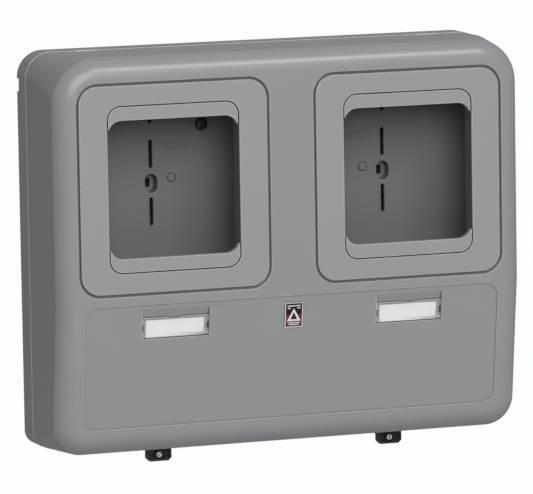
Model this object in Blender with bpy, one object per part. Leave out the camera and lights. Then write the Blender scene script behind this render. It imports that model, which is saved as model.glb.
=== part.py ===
"""Two-gang surface box for electricity meters: wall tray, hinged cover, window frames and locks.

Metres, +Z up. The origin is the middle of the tray's back face; the wall is at y = 0 and the
box stands out from it towards -Y. +X is to the viewer's right.
"""
from math import asin, atan, cos, pi, radians, sin

import bmesh
import bpy
from mathutils import Euler, Matrix, Vector

# ---- Driving dimensions -------------------------------------------------------------------

# Whole box
BOX_WIDTH = 0.495
BOX_HEIGHT = 0.399
BOX_DEPTH = 0.124
SEAM_DEPTH = 0.028          # height of the tray's rim above the wall
SEAM_GAP = 0.0005
SIDE_CORNER = 0.026         # upper corner radius of the side walls, seen from the front
FOOT_CORNER = 0.014         # lower corner radius of the side walls

# Rounded front edge and the sloped lower face
EDGE_RADIUS = 0.0225
EDGE_SWEEP = radians(65)    # the arc stops short of the side wall and leaves a crease
CREASE_CORNER = 0.044       # upper and lower corner radius where the rounded edge begins
CREASE_FOOT_CORNER = 0.029
FRONT_CORNER = 0.004        # least corner radius of the flat front
CORNER_GROWS = 0.0585        # height of the cut, parallel to the face, from which it changes
FACE_SLOPE = 0.12           # set-back of the lower face for each unit of drop
KINK_BELOW_FRAME = 0.0075

# Walls and clearances
COVER_WALL = 0.003
INNER_CREASE_BACK = 0.001   # how far behind the outer crease the inner one lies
TRAY_WALL = 0.003
TRAY_PROUD = 0.0005         # the tray's rim stands out this far past the cover all round
LIP_HEIGHT = 0.008
LIP_WALL = 0.002
TOUCH = 0.0003              # gap between pieces that rest on each other
SLIP = 0.0005               # gap between pieces that pass each other

# Window frames
WINDOW_X = 0.125            # centre of each window from the middle of the box
TOP_MARGIN = 0.0249
POCKET_WIDTH = 0.2028       # pocket in the cover that takes the frame
POCKET_HEIGHT = 0.2132
POCKET_CORNER = 0.022
FRAME_GROOVE = 0.0025       # open groove all round between the pocket and the frame
FRAME_THICK = 0.003
FRAME_CHAMFER = 0.0006
LEDGE_WIDTH = 0.007
LEDGE_THICK = 0.003
LEDGE_BAND = 0.0025         # solid band left round the frame's pocket
LEDGE_SIDE_BAND = 0.0015    # the same band where two pockets or the side wall are near
LIGHT_WIDTH = 0.1385        # clear opening of the frame without its strips
LIGHT_HEIGHT = 0.1674
LIGHT_CORNER = 0.014
COLLAR_WALL = 0.0022
COLLAR_DEPTH = 0.018
STRIP_HEIGHT = 0.0146
STRIP_DEPTH = 0.008
STRIP_CORNER = 0.014
STRIP_TIP = 0.0009
STRIP_GAP = 0.0008          # seam between a strip and its frame

# Lower panel, name plates and label
PANEL_TOP_DROP = 0.0022
PANEL_SIDE_MARGIN = 0.0262
PANEL_FOOT_MARGIN = 0.0265
PANEL_CORNER = 0.014
PANEL_DEPTH = 0.0008
NAME_WIDTH = 0.071
NAME_HEIGHT = 0.0305
NAME_BELOW_PANEL_TOP = 0.0045
NAME_POCKET_DEPTH = 0.0048
NAME_RAMP = 0.0090
NAME_RAMP_DEPTH = 0.0030
NAME_BLOCK_WALL = 0.0025
FLAP_THICK = 0.0018
FLAP_SINK = 0.0010
FLAP_PIN_RADIUS = 0.0009
FLAP_PIN_LENGTH = 0.0012
FLAP_FOOT = 0.0009          # flap edge below its pins
THUMB_NOTCH_WIDTH = 0.012
THUMB_NOTCH_HEIGHT = 0.0016
CARD_WIDTH = 0.0613
CARD_HEIGHT = 0.0178
CARD_THICK = 0.0006
CLIP_SLOT_WIDTH = 0.0024
CLIP_SLOT_HEIGHT = 0.0082
LABEL_WIDTH = 0.0192
LABEL_HEIGHT = 0.0255
LABEL_THICK = 0.0006
LABEL_CORNER = 0.0012
LABEL_BELOW_PANEL_TOP = 0.0072

# Meter plates and their screws
PLATE_WIDTH = 0.196
PLATE_HEIGHT = 0.222
PLATE_FRONT = 0.0508        # front of the plate above the wall
PLATE_THICK = 0.003
PLATE_CORNER = 0.008
PLATE_DROP = 0.0035         # plate centre below window centre
SLOT_WIDTH = 0.0040
SLOT_LENGTH = 0.0288
SLOT_CENTRES = (0.0722, 0.0261, -0.0321, -0.0924)   # from the window centre
SIGHT_HOLE_WIDTH = 0.014
SIGHT_HOLE_HEIGHT = 0.0195
SIGHT_HOLE_DROP = 0.0037
CUP_DEPTH = 0.011
CUP_WALL = 0.0018
CUP_SLOT_WIDTH = 0.0055
CUP_SLOT_HEIGHT = 0.0105
PEG_RADIUS = 0.0042
PEG_RISE = 0.0012
PEG_INBOARD = 0.0218
PEG_RISE_Z = 0.0017
SCREW_INBOARD = 0.0545
SCREW_SEEN = 0.0537         # inboard upper screw above the window centre
SCREW_FAR = 0.0950          # the other three, above or below the window centre
SCREW_HEAD_RADIUS = 0.0062
SCREW_HEAD_HEIGHT = 0.0032
SCREW_SHANK_RADIUS = 0.0020
SCREW_LENGTH = 0.015
SCREW_RECESS = 0.0016
SCREW_SOCKET = 0.0026       # radius of the drive recess
SCREW_CROWN = 0.0046        # radius of the flat on top of the head
SCREW_SHOULDER = 0.0014     # height of the head's rounded shoulder
POST_RADIUS = 0.0055

# Tray details
HOOK_X = 0.183
HOOK_WIDTH = 0.023
HOOK_DEPTH = 0.0045
WALL_SLOT_X = 0.185
WALL_SLOT_Z = 0.135
WALL_SLOT_RADIUS = 0.0032
WALL_SLOT_LENGTH = 0.014
RIB_HEIGHT = 0.008
RIB_THICK = 0.0025
CABLE_WIDTH = 0.090
CABLE_HEIGHT = 0.050
CABLE_ABOVE_FOOT = 0.078
CABLE_CORNER = 0.006
NOTCH_HEIGHT = 0.013
NOTCH_BELOW_TOP = 0.0335
NOTCH_DEPTH = 0.0020
NOTCH_RUN = 0.006
PLUG_X = 0.055
PLUG_RADIUS = 0.009
PLUG_FLANGE = 0.0018
PLUG_FLANGE_THICK = 0.0014
PLUG_STEM = 0.006
PLUG_WALL = 0.002
PLUG_DISH = 0.0008          # hollow in the plug's face
PLUG_FLOOR = 0.001

# Cover locks
LOCK_X = 0.125
LOCK_FRONT = 0.0615         # front of the bracket above the wall
LOCK_REAR = 0.0535
LOCK_WIDTH = 0.026
LOCK_DROP = 0.0176          # bracket below the box
LOCK_CHAMFER = 0.0032
LOCK_SCREW_DROP = 0.0110    # screw axis below the box
LOCK_HEAD_RADIUS = 0.0030
LOCK_HEAD_HEIGHT = 0.0030
LOCK_SHANK_RADIUS = 0.0020
LOCK_BOSS_RADIUS = 0.0050
LOCK_RECESS = 0.0025
LOCK_FLANGE = 0.0028
LOCK_ENGAGE = 0.005
NECK_WIDTH = 0.016
NECK_DEPTH = 0.005
NECK_CLIP = 0.0012
NECK_CLIP_HEIGHT = 0.002
LOCK_SLOT_WIDTH = 0.001
LOCK_SLOT_DEPTH = 0.0012
LOCK_SLOT_TURN = {"left": radians(-40), "right": radians(-84)}
LUG_WIDTH = 0.014
LUG_DROP = 0.0169
LUG_FRONT = 0.0532          # front of the lug above the wall
LUG_THICK = 0.008
ARM_THICK = 0.0035          # arm that carries the lug forward under the cover
ARM_ROOT = 0.010            # height above the wall at which the arm starts
INSERT_RADIUS = 0.0037
INSERT_LENGTH = 0.0072
INSERT_BORE = 0.0026
RETAINER_RADIUS = 0.0036
RETAINER_THICK = 0.0008

# Facets
CORNER_STEPS = 5
EDGE_STEPS = 4
ROUND_STEPS = 12
FULL_ROUND = 0.999          # share of the half width that rounds a slot's end

# ---- Derived places -----------------------------------------------------------------------

HALF_W = BOX_WIDTH / 2
HALF_H = BOX_HEIGHT / 2
WINDOW_Z = HALF_H - TOP_MARGIN - POCKET_HEIGHT / 2
KINK_Z = WINDOW_Z - POCKET_HEIGHT / 2 - KINK_BELOW_FRAME
FACE_TILT = atan(FACE_SLOPE)
PANEL_TOP = KINK_Z - PANEL_TOP_DROP
PANEL_FOOT = PANEL_FOOT_MARGIN - HALF_H
SIDES = (("left", -1), ("right", 1))


def face_y(z):
    """Front surface of the cover at height z: upright above the kink, set back below it."""
    return -BOX_DEPTH + FACE_SLOPE * max(0.0, KINK_Z - z)


# ---- Shape tools --------------------------------------------------------------------------

def clear_scene():
    for old in list(bpy.data.objects):
        bpy.data.objects.remove(old, do_unlink=True)


def rounded(half_w, half_h, radius, centre=(0.0, 0.0), steps=CORNER_STEPS, side_z=None,
            foot=None):
    """Points (x, z) of a rounded rectangle, anticlockwise from the right side's foot.

    side_z puts one more point on each side wall at that height. foot is the lower corners'
    radius where it differs.
    """
    corners = ((1, -1, -90), (1, 1, 0), (-1, 1, 90), (-1, -1, 180))
    points = []
    for index, (sx, sz, start) in enumerate(corners):
        bend = foot if foot is not None and sz < 0 else radius
        cx = sx * (half_w - bend)
        cz = sz * (half_h - bend)
        for step in range(steps + 1):
            angle = radians(start + 90 * step / steps)
            points.append((centre[0] + cx + bend * cos(angle),
                           centre[1] + cz + bend * sin(angle)))
        if side_z is not None and index in (0, 2):
            points.append((centre[0] + sx * half_w, side_z))
    return points


def at_depth(outline, y):
    """Lift (x, z) points to a plane y, or to a surface y(x, z)."""
    if callable(y):
        return [Vector((x, y(x, z), z)) for x, z in outline]
    return [Vector((x, y, z)) for x, z in outline]


def loft(bm, loops, ring=False, split=None):
    """Skin equal loops in order. A ring closes on itself; otherwise both ends are capped.

    split=(a, b) folds each cap along the line between those two points.
    """
    rows = [[bm.verts.new(point) for point in loop] for loop in loops]
    count = len(rows[0])
    pairs = list(zip(rows, rows[1:]))
    if ring:
        pairs.append((rows[-1], rows[0]))
    for low, high in pairs:
        for i in range(count):
            j = (i + 1) % count
            bm.faces.new((low[i], low[j], high[j], high[i]))
    if ring:
        return
    for row in (rows[0], rows[-1]):
        if split is None:
            bm.faces.new(row)
        else:
            a, b = split
            bm.faces.new(row[a:b + 1])
            bm.faces.new(row[b:] + row[:a + 1])


def slab(bm, outline, y0, y1):
    loft(bm, [at_depth(outline, y0), at_depth(outline, y1)])


def box(bm, low, high):
    size = Vector(high) - Vector(low)
    middle = (Vector(high) + Vector(low)) / 2
    matrix = Matrix.Translation(middle) @ Matrix.Diagonal((*size, 1.0))
    bmesh.ops.create_cube(bm, size=1.0, matrix=matrix)


AXIS_TURN = {
    "X": Matrix.Rotation(pi / 2, 4, "Y"),
    "Y": Matrix.Rotation(-pi / 2, 4, "X"),
    "Z": Matrix.Identity(4),
}


def turned(bm, profile, centre, axis="Y", steps=ROUND_STEPS):
    """Turn (radius, along) points about an axis; a profile that stays off it makes a ring."""
    matrix = Matrix.Translation(Vector(centre)) @ AXIS_TURN[axis]
    rows = []
    for radius, along in profile:
        if radius == 0:
            rows.append([bm.verts.new(matrix @ Vector((0, 0, along)))])
            continue
        rows.append([bm.verts.new(matrix @ Vector((radius * cos(2 * pi * i / steps),
                                                   radius * sin(2 * pi * i / steps), along)))
                     for i in range(steps)])
    pairs = list(zip(rows, rows[1:]))
    if profile[0][0] and profile[-1][0]:
        pairs.append((rows[-1], rows[0]))
    for low, high in pairs:
        for i in range(steps):
            j = (i + 1) % steps
            if len(low) == 1:
                bm.faces.new((low[0], high[j], high[i]))
            elif len(high) == 1:
                bm.faces.new((low[i], low[j], high[0]))
            else:
                bm.faces.new((low[i], low[j], high[j], high[i]))


def rod(bm, centre, radius, length, axis="Y", steps=ROUND_STEPS):
    """Cylinder that starts at centre and runs along +axis."""
    turned(bm, [(0, 0), (radius, 0), (radius, length), (0, length)], centre, axis, steps)


def finish(name, bm, material=None, location=(0, 0, 0), tilt=0.0, round_piece=False):
    bmesh.ops.recalc_face_normals(bm, faces=bm.faces)
    mesh = bpy.data.meshes.new(name)
    bm.to_mesh(mesh)
    bm.free()
    piece = bpy.data.objects.new(name, mesh)
    bpy.context.scene.collection.objects.link(piece)
    piece.location = location
    piece.rotation_euler = Euler((tilt, 0, 0))
    if material is not None:
        mesh.materials.append(material)
    if round_piece:
        mesh.shade_smooth()
        mesh.set_sharp_from_angle(angle=radians(35))
    return piece


def shape(piece, tool, operation):
    """Boolean with a hidden tool object."""
    tool.hide_render = True
    tool.display_type = "WIRE"
    step = piece.modifiers.new(tool.name, "BOOLEAN")
    step.object = tool
    step.operation = operation
    step.solver = "EXACT"


def plastic(name, colour, roughness, metallic=0.0, alpha=1.0):
    material = bpy.data.materials.new(name)
    material.use_nodes = True
    shader = material.node_tree.nodes["Principled BSDF"]
    shader.inputs["Base Color"].default_value = (*colour, 1.0)
    shader.inputs["Roughness"].default_value = roughness
    shader.inputs["Metallic"].default_value = metallic
    shader.inputs["Alpha"].default_value = alpha
    return material


# ---- Tray on the wall ---------------------------------------------------------------------

def post_places(side):
    """Centres (x, z) of one plate's four fixing screws."""
    inboard = side * (WINDOW_X - SCREW_INBOARD)
    outboard = side * (WINDOW_X + SCREW_INBOARD)
    return [(inboard, WINDOW_Z + SCREW_SEEN), (outboard, WINDOW_Z + SCREW_FAR),
            (inboard, WINDOW_Z - SCREW_FAR), (outboard, WINDOW_Z - SCREW_FAR)]


def tray_outline(inset):
    edge = inset - TRAY_PROUD
    return rounded(HALF_W - edge, HALF_H - edge, SIDE_CORNER - edge, foot=FOOT_CORNER - edge)


def make_tray(material):
    lip_outer = COVER_WALL + SLIP + TRAY_PROUD
    lip_inner = lip_outer + LIP_WALL
    lip_top = -SEAM_DEPTH - LIP_HEIGHT
    bm = bmesh.new()
    loft(bm, [at_depth(tray_outline(0), 0),
              at_depth(tray_outline(0), -SEAM_DEPTH),
              at_depth(tray_outline(lip_outer), -SEAM_DEPTH),
              at_depth(tray_outline(lip_outer), lip_top),
              at_depth(tray_outline(lip_inner), lip_top),
              at_depth(tray_outline(lip_inner), -TRAY_WALL)])
    tray = finish("base_tray", bm, material)

    inner_w = HALF_W + TRAY_PROUD - lip_inner
    inner_h = HALF_H + TRAY_PROUD - lip_inner
    overlap = 0.001
    bm = bmesh.new()
    rib_top = -TRAY_WALL - RIB_HEIGHT
    rib_z = WINDOW_Z - SCREW_FAR - 2 * POST_RADIUS
    box(bm, (-inner_w - overlap, rib_top, rib_z - RIB_THICK),
        (inner_w + overlap, -TRAY_WALL + overlap, rib_z))
    shape(tray, finish("tray_cross_rib", bm), "UNION")
    bm = bmesh.new()
    box(bm, (-RIB_THICK / 2, rib_top, rib_z - overlap),
        (RIB_THICK / 2, -TRAY_WALL + overlap, inner_h + overlap))
    shape(tray, finish("tray_upright_rib", bm), "UNION")

    bm = bmesh.new()
    post_top = PLATE_FRONT - PLATE_THICK - TOUCH
    for _, side in SIDES:
        for x, z in post_places(side):
            rod(bm, (x, -post_top, z), POST_RADIUS, post_top - TRAY_WALL + overlap)
    shape(tray, finish("tray_posts", bm), "UNION")

    # Each lug hangs from an arm that starts under the rim and runs forward below the cover.
    bm = bmesh.new()
    tray_foot = -HALF_H - TRAY_PROUD
    lug_foot = -HALF_H - LUG_DROP
    arm_top = -HALF_H - 2 * SLIP
    arm_foot = arm_top - ARM_THICK
    profile = [(-LUG_FRONT, arm_top), (-LUG_FRONT, lug_foot), (LUG_THICK - LUG_FRONT, lug_foot),
               (LUG_THICK - LUG_FRONT, arm_foot), (-ARM_ROOT, arm_foot),
               (-ARM_ROOT, tray_foot + overlap), (overlap - SEAM_DEPTH, tray_foot + overlap),
               (overlap - SEAM_DEPTH, arm_top)]
    for _, side in SIDES:
        loft(bm, [[Vector((side * LOCK_X + end * LUG_WIDTH / 2, y, z)) for y, z in profile]
                  for end in (-1, 1)])
    shape(tray, finish("tray_lugs", bm), "UNION")

    bm = bmesh.new()
    hook_top = HALF_H
    hook_foot = hook_top - COVER_WALL - SLIP - overlap
    for _, side in SIDES:
        x0 = side * HOOK_X - HOOK_WIDTH / 2
        box(bm, (x0, -SEAM_DEPTH - HOOK_DEPTH, hook_foot),
            (x0 + HOOK_WIDTH, -SEAM_DEPTH + overlap, hook_top - TOUCH))
    shape(tray, finish("tray_hooks", bm), "UNION")

    bm = bmesh.new()
    past = 0.002
    for _, side in SIDES:
        for x, z in post_places(side):
            rod(bm, (x, -post_top - past, z), SCREW_SHANK_RADIUS + TOUCH,
                past + SCREW_LENGTH)
        rod(bm, (side * LOCK_X, -LUG_FRONT - past, -HALF_H - LOCK_SCREW_DROP),
            INSERT_RADIUS + TOUCH, LUG_THICK + 2 * past)
        rod(bm, (side * PLUG_X, -SEAM_DEPTH / 2, tray_foot - past),
            PLUG_RADIUS + TOUCH, past + PLUG_STEM * 2, "Z")
        for up in (-1, 1):
            half = (WALL_SLOT_RADIUS, WALL_SLOT_LENGTH / 2)
            slot = rounded(*half, WALL_SLOT_RADIUS * FULL_ROUND,
                           (side * WALL_SLOT_X, up * WALL_SLOT_Z), 3)
            slab(bm, slot, -TRAY_WALL - past, past)
        notch_x = side * (HALF_W + TRAY_PROUD)
        notch_z = HALF_H - NOTCH_BELOW_TOP
        box(bm, (notch_x - NOTCH_DEPTH, -NOTCH_RUN, notch_z - NOTCH_HEIGHT / 2),
            (notch_x + NOTCH_DEPTH, past, notch_z + NOTCH_HEIGHT / 2))
    cable_z = CABLE_ABOVE_FOOT - HALF_H
    slab(bm, rounded(CABLE_WIDTH / 2, CABLE_HEIGHT / 2, CABLE_CORNER, (0, cable_z), 3),
         -TRAY_WALL - past, past)
    shape(tray, finish("tray_holes", bm), "DIFFERENCE")
    return tray


# ---- Cover --------------------------------------------------------------------------------

def cover_loop(inset, depth):
    """Cover section: depth is measured back from the front surface at each height."""
    outline = rounded(HALF_W - inset, HALF_H - inset, max(CREASE_CORNER - inset, FRONT_CORNER),
                      side_z=KINK_Z, foot=max(CREASE_FOOT_CORNER - inset, FRONT_CORNER))
    return at_depth(outline, lambda x, z: face_y(z) + depth)


def edge_loops(radius, angles):
    """Loops over the rounded front edge, at its outer or its inner radius."""
    span = EDGE_RADIUS * sin(EDGE_SWEEP)
    loops = []
    for angle in angles:
        inset = span - radius * sin(angle)
        depth = EDGE_RADIUS - radius * cos(angle)
        loops.append(cover_loop(inset, depth))
    return loops


def skirt_loops(inset):
    """Cover sections round the tray: at the rim, and where the corner radii start to change."""
    outline = rounded(HALF_W - inset, HALF_H - inset, SIDE_CORNER - inset, side_z=KINK_Z,
                      foot=FOOT_CORNER - inset)
    return [at_depth(outline, -SEAM_DEPTH - SEAM_GAP),
            at_depth(outline, lambda x, z: face_y(z) + BOX_DEPTH - CORNER_GROWS)]


def name_frame(side):
    """Place of one name plate: middle of its pocket mouth on the lower panel's floor."""
    z = PANEL_TOP - NAME_BELOW_PANEL_TOP - NAME_HEIGHT / 2
    return (side * WINDOW_X, face_y(z) + PANEL_DEPTH, z)


def make_cover(material):
    sweep = [EDGE_SWEEP * (1 - i / EDGE_STEPS) for i in range(EDGE_STEPS + 1)]
    inner_radius = EDGE_RADIUS - COVER_WALL
    inner_crease = EDGE_RADIUS - inner_radius * cos(EDGE_SWEEP) + INNER_CREASE_BACK
    outer = skirt_loops(0) + edge_loops(EDGE_RADIUS, sweep)
    inner = skirt_loops(COVER_WALL) + [cover_loop(COVER_WALL, inner_crease)]
    inner += edge_loops(inner_radius, sweep[1::2] + [0.0])
    fold = (CORNER_STEPS + 1, 3 * (CORNER_STEPS + 1) + 1)
    bm = bmesh.new()
    loft(bm, list(reversed(outer)) + inner, split=fold)
    cover = finish("cover_shell", bm, material, round_piece=True)

    pocket_depth = FRAME_THICK + TOUCH
    past = 0.006
    overlap = 0.001
    for label, side in SIDES:
        centre = (side * WINDOW_X, WINDOW_Z)
        half_w, half_h = POCKET_WIDTH / 2, POCKET_HEIGHT / 2
        bm = bmesh.new()
        slab(bm, rounded(half_w + LEDGE_SIDE_BAND, half_h + LEDGE_BAND,
                         POCKET_CORNER + LEDGE_BAND, centre),
             -BOX_DEPTH + COVER_WALL / 3, -BOX_DEPTH + pocket_depth + LEDGE_THICK)
        shape(cover, finish("cover_ledge_" + label, bm), "UNION")
        pocket = rounded(half_w, half_h, POCKET_CORNER, centre)
        hole = rounded(half_w - LEDGE_WIDTH, half_h - LEDGE_WIDTH, POCKET_CORNER - LEDGE_WIDTH,
                       centre)
        bm = bmesh.new()
        loft(bm, [at_depth(pocket, -BOX_DEPTH - past),
                  at_depth(pocket, -BOX_DEPTH + pocket_depth),
                  at_depth(hole, -BOX_DEPTH + pocket_depth),
                  at_depth(hole, -BOX_DEPTH + pocket_depth + LEDGE_THICK + past)])
        shape(cover, finish("cover_window_" + label, bm), "DIFFERENCE")

    panel_half_h = (PANEL_TOP - PANEL_FOOT) / 2
    panel = rounded(HALF_W - PANEL_SIDE_MARGIN, panel_half_h, PANEL_CORNER,
                    (0, (PANEL_TOP + PANEL_FOOT) / 2))
    bm = bmesh.new()
    loft(bm, [at_depth(panel, -BOX_DEPTH - past),
              at_depth(panel, lambda x, z: face_y(z) + PANEL_DEPTH)])
    shape(cover, finish("cover_panel", bm), "DIFFERENCE")

    for label, side in SIDES:
        place = name_frame(side)
        half_w = NAME_WIDTH / 2
        half_h = NAME_HEIGHT / 2
        block_w = half_w + FLAP_PIN_LENGTH + NAME_BLOCK_WALL
        block_back = NAME_POCKET_DEPTH + NAME_BLOCK_WALL
        bm = bmesh.new()
        box(bm, (-block_w, COVER_WALL / 3, -half_h - NAME_BLOCK_WALL),
            (block_w, block_back, half_h + NAME_BLOCK_WALL))
        shape(cover, finish("cover_name_block_" + label, bm, location=place, tilt=FACE_TILT),
              "UNION")
        bm = bmesh.new()
        profile = [(-past, half_h), (0, half_h), (NAME_RAMP_DEPTH, half_h - NAME_RAMP),
                   (NAME_POCKET_DEPTH, half_h - NAME_RAMP), (NAME_POCKET_DEPTH, -half_h),
                   (-past, -half_h)]
        loops = [[Vector((x, y, z)) for y, z in profile] for x in (-half_w, half_w)]
        loft(bm, loops)
        shape(cover, finish("cover_name_pocket_" + label, bm, location=place, tilt=FACE_TILT),
              "DIFFERENCE")
        bm = bmesh.new()
        slot_foot, slot_top = clip_slot_span()
        for end in (-1, 1):
            edge_x = end * (half_w - SLIP)
            far_x = edge_x - end * CLIP_SLOT_WIDTH
            box(bm, (min(edge_x, far_x), NAME_POCKET_DEPTH - overlap, slot_foot),
                (max(edge_x, far_x), block_back + overlap, slot_top))
        shape(cover, finish("cover_clip_slots_" + label, bm, location=place, tilt=FACE_TILT),
              "DIFFERENCE")
        bm = bmesh.new()
        pin_y, pin_z = flap_pin()
        reach = half_w + FLAP_PIN_LENGTH
        rod(bm, (-reach, pin_y, pin_z), FLAP_PIN_RADIUS + TOUCH, 2 * reach, "X", 8)
        shape(cover, finish("cover_name_pivots_" + label, bm, location=place, tilt=FACE_TILT),
              "DIFFERENCE")

    bm = bmesh.new()
    for _, side in SIDES:
        x0 = side * LOCK_X - NECK_WIDTH / 2 - TOUCH
        y0, y1 = neck_span()
        box(bm, (x0, y0 - TOUCH, -HALF_H - past),
            (x0 + NECK_WIDTH + 2 * TOUCH, y1 + TOUCH, -HALF_H + COVER_WALL + past))
        x0 = side * HOOK_X - HOOK_WIDTH / 2 - SLIP
        box(bm, (x0, -SEAM_DEPTH - HOOK_DEPTH - SLIP, HALF_H - COVER_WALL - past),
            (x0 + HOOK_WIDTH + 2 * SLIP, -SEAM_DEPTH + past, HALF_H + past))
    shape(cover, finish("cover_slots", bm), "DIFFERENCE")
    return cover


# ---- Window frames and strips -------------------------------------------------------------

def make_window(label, side, frame_material, strip_material):
    centre = (side * WINDOW_X, WINDOW_Z)
    half_w = POCKET_WIDTH / 2 - FRAME_GROOVE
    half_h = POCKET_HEIGHT / 2 - FRAME_GROOVE
    corner = POCKET_CORNER - FRAME_GROOVE
    light_w, light_h = LIGHT_WIDTH / 2, LIGHT_HEIGHT / 2
    front = -BOX_DEPTH
    back = front + FRAME_THICK
    collar_back = front + COLLAR_DEPTH

    def outer(inset):
        return rounded(half_w - inset, half_h - inset, corner - inset, centre)

    def light(grow):
        return rounded(light_w + grow, light_h + grow, LIGHT_CORNER + grow, centre)

    bm = bmesh.new()
    loft(bm, [at_depth(outer(FRAME_CHAMFER), front), at_depth(outer(0), front + FRAME_CHAMFER),
              at_depth(outer(0), back), at_depth(light(COLLAR_WALL), back),
              at_depth(light(COLLAR_WALL), collar_back), at_depth(light(0), collar_back),
              at_depth(light(0), front)], ring=True)
    finish("window_frame_" + label, bm, frame_material, round_piece=True)

    # A strip is bounded by the frame's rounded end on one side and, on the other, by the
    # rounded end of the shortened opening, whose corner arc stops where it gets thin.
    strip_w = light_w - STRIP_GAP
    edge_z = light_h - STRIP_HEIGHT
    tip = pi / 2 - 2 * asin((STRIP_TIP / 2 / STRIP_CORNER) ** 0.5)
    for place, up in (("upper", 1), ("lower", -1)):
        corner_r = LIGHT_CORNER - STRIP_GAP
        top = light_h - STRIP_GAP
        half = []
        for i in range(CORNER_STEPS + 1):
            angle = pi / 2 - pi / 2 * i / CORNER_STEPS
            half.append((strip_w - corner_r + corner_r * cos(angle),
                         top - corner_r + corner_r * sin(angle)))
        low = pi / 2 - tip
        for i in range(CORNER_STEPS + 1):
            angle = low + tip * i / CORNER_STEPS
            arc = (strip_w - STRIP_CORNER + STRIP_CORNER * cos(angle),
                   edge_z - STRIP_CORNER + STRIP_CORNER * sin(angle))
            if i == 0:
                half.append((strip_w, arc[1]))
            half.append(arc)
        points = half + [(-x, z) for x, z in reversed(half)]
        outline = [(centre[0] + x, centre[1] + up * z) for x, z in points]
        bm = bmesh.new()
        slab(bm, outline, front + TOUCH, front + STRIP_DEPTH)
        finish("window_strip_" + place + "_" + label, bm, strip_material)


# ---- Name plates and label ----------------------------------------------------------------

def flap_pin():
    """Pin centre (y, z) in the name plate's own frame."""
    return (FLAP_SINK + FLAP_THICK / 2, -NAME_HEIGHT / 2 + FLAP_FOOT + 2 * SLIP)


def clip_slot_span():
    """Lower and upper z of the clip slots at the flap's ends, in the name plate's frame."""
    flap_top = NAME_HEIGHT / 2 - NAME_RAMP - SLIP
    middle = (flap_top - NAME_HEIGHT / 2) / 2
    return (middle - CLIP_SLOT_HEIGHT / 2, middle + CLIP_SLOT_HEIGHT / 2)


def make_name_plate(label, side, clear, card):
    place = Vector(name_frame(side))
    turn = Matrix.Rotation(FACE_TILT, 4, "X")
    pin_y, pin_z = flap_pin()
    top = NAME_HEIGHT / 2 - NAME_RAMP - SLIP
    half_w = NAME_WIDTH / 2 - SLIP
    overlap = 0.001
    notch = THUMB_NOTCH_WIDTH / 2
    slot_foot, slot_top = clip_slot_span()
    cut_x = half_w - CLIP_SLOT_WIDTH
    right = [(half_w, -FLAP_FOOT), (half_w, slot_foot - pin_z), (cut_x, slot_foot - pin_z),
             (cut_x, slot_top - pin_z), (half_w, slot_top - pin_z), (half_w, top - pin_z),
             (notch + THUMB_NOTCH_HEIGHT, top - pin_z),
             (notch, top - THUMB_NOTCH_HEIGHT - pin_z)]
    outline = right + [(-x, z) for x, z in reversed(right)]
    bm = bmesh.new()
    slab(bm, outline, -FLAP_THICK / 2, FLAP_THICK / 2)
    pivot = place + turn @ Vector((0, pin_y, pin_z))
    flap = finish("name_window_" + label, bm, clear, location=pivot, tilt=FACE_TILT)
    bm = bmesh.new()
    for end in (-1, 1):
        start = half_w - overlap if end > 0 else -half_w - FLAP_PIN_LENGTH + SLIP
        rod(bm, (start, 0, 0), FLAP_PIN_RADIUS, FLAP_PIN_LENGTH + overlap - SLIP, "X", 8)
    shape(flap, finish("name_window_pins_" + label, bm, location=pivot, tilt=FACE_TILT),
          "UNION")

    back = NAME_POCKET_DEPTH - TOUCH
    foot = -NAME_HEIGHT / 2 + TOUCH
    bm = bmesh.new()
    box(bm, (-CARD_WIDTH / 2, back - CARD_THICK, foot),
        (CARD_WIDTH / 2, back, foot + CARD_HEIGHT))
    finish("name_card_" + label, bm, card, location=place, tilt=FACE_TILT)


def make_label(material):
    z = PANEL_TOP - LABEL_BELOW_PANEL_TOP - LABEL_HEIGHT / 2
    place = (0, face_y(z) + PANEL_DEPTH, z)
    bm = bmesh.new()
    slab(bm, rounded(LABEL_WIDTH / 2, LABEL_HEIGHT / 2, LABEL_CORNER, steps=2),
         -TOUCH - LABEL_THICK, -TOUCH)
    finish("caution_label", bm, material, location=place, tilt=FACE_TILT)


# ---- Meter plates -------------------------------------------------------------------------

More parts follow.
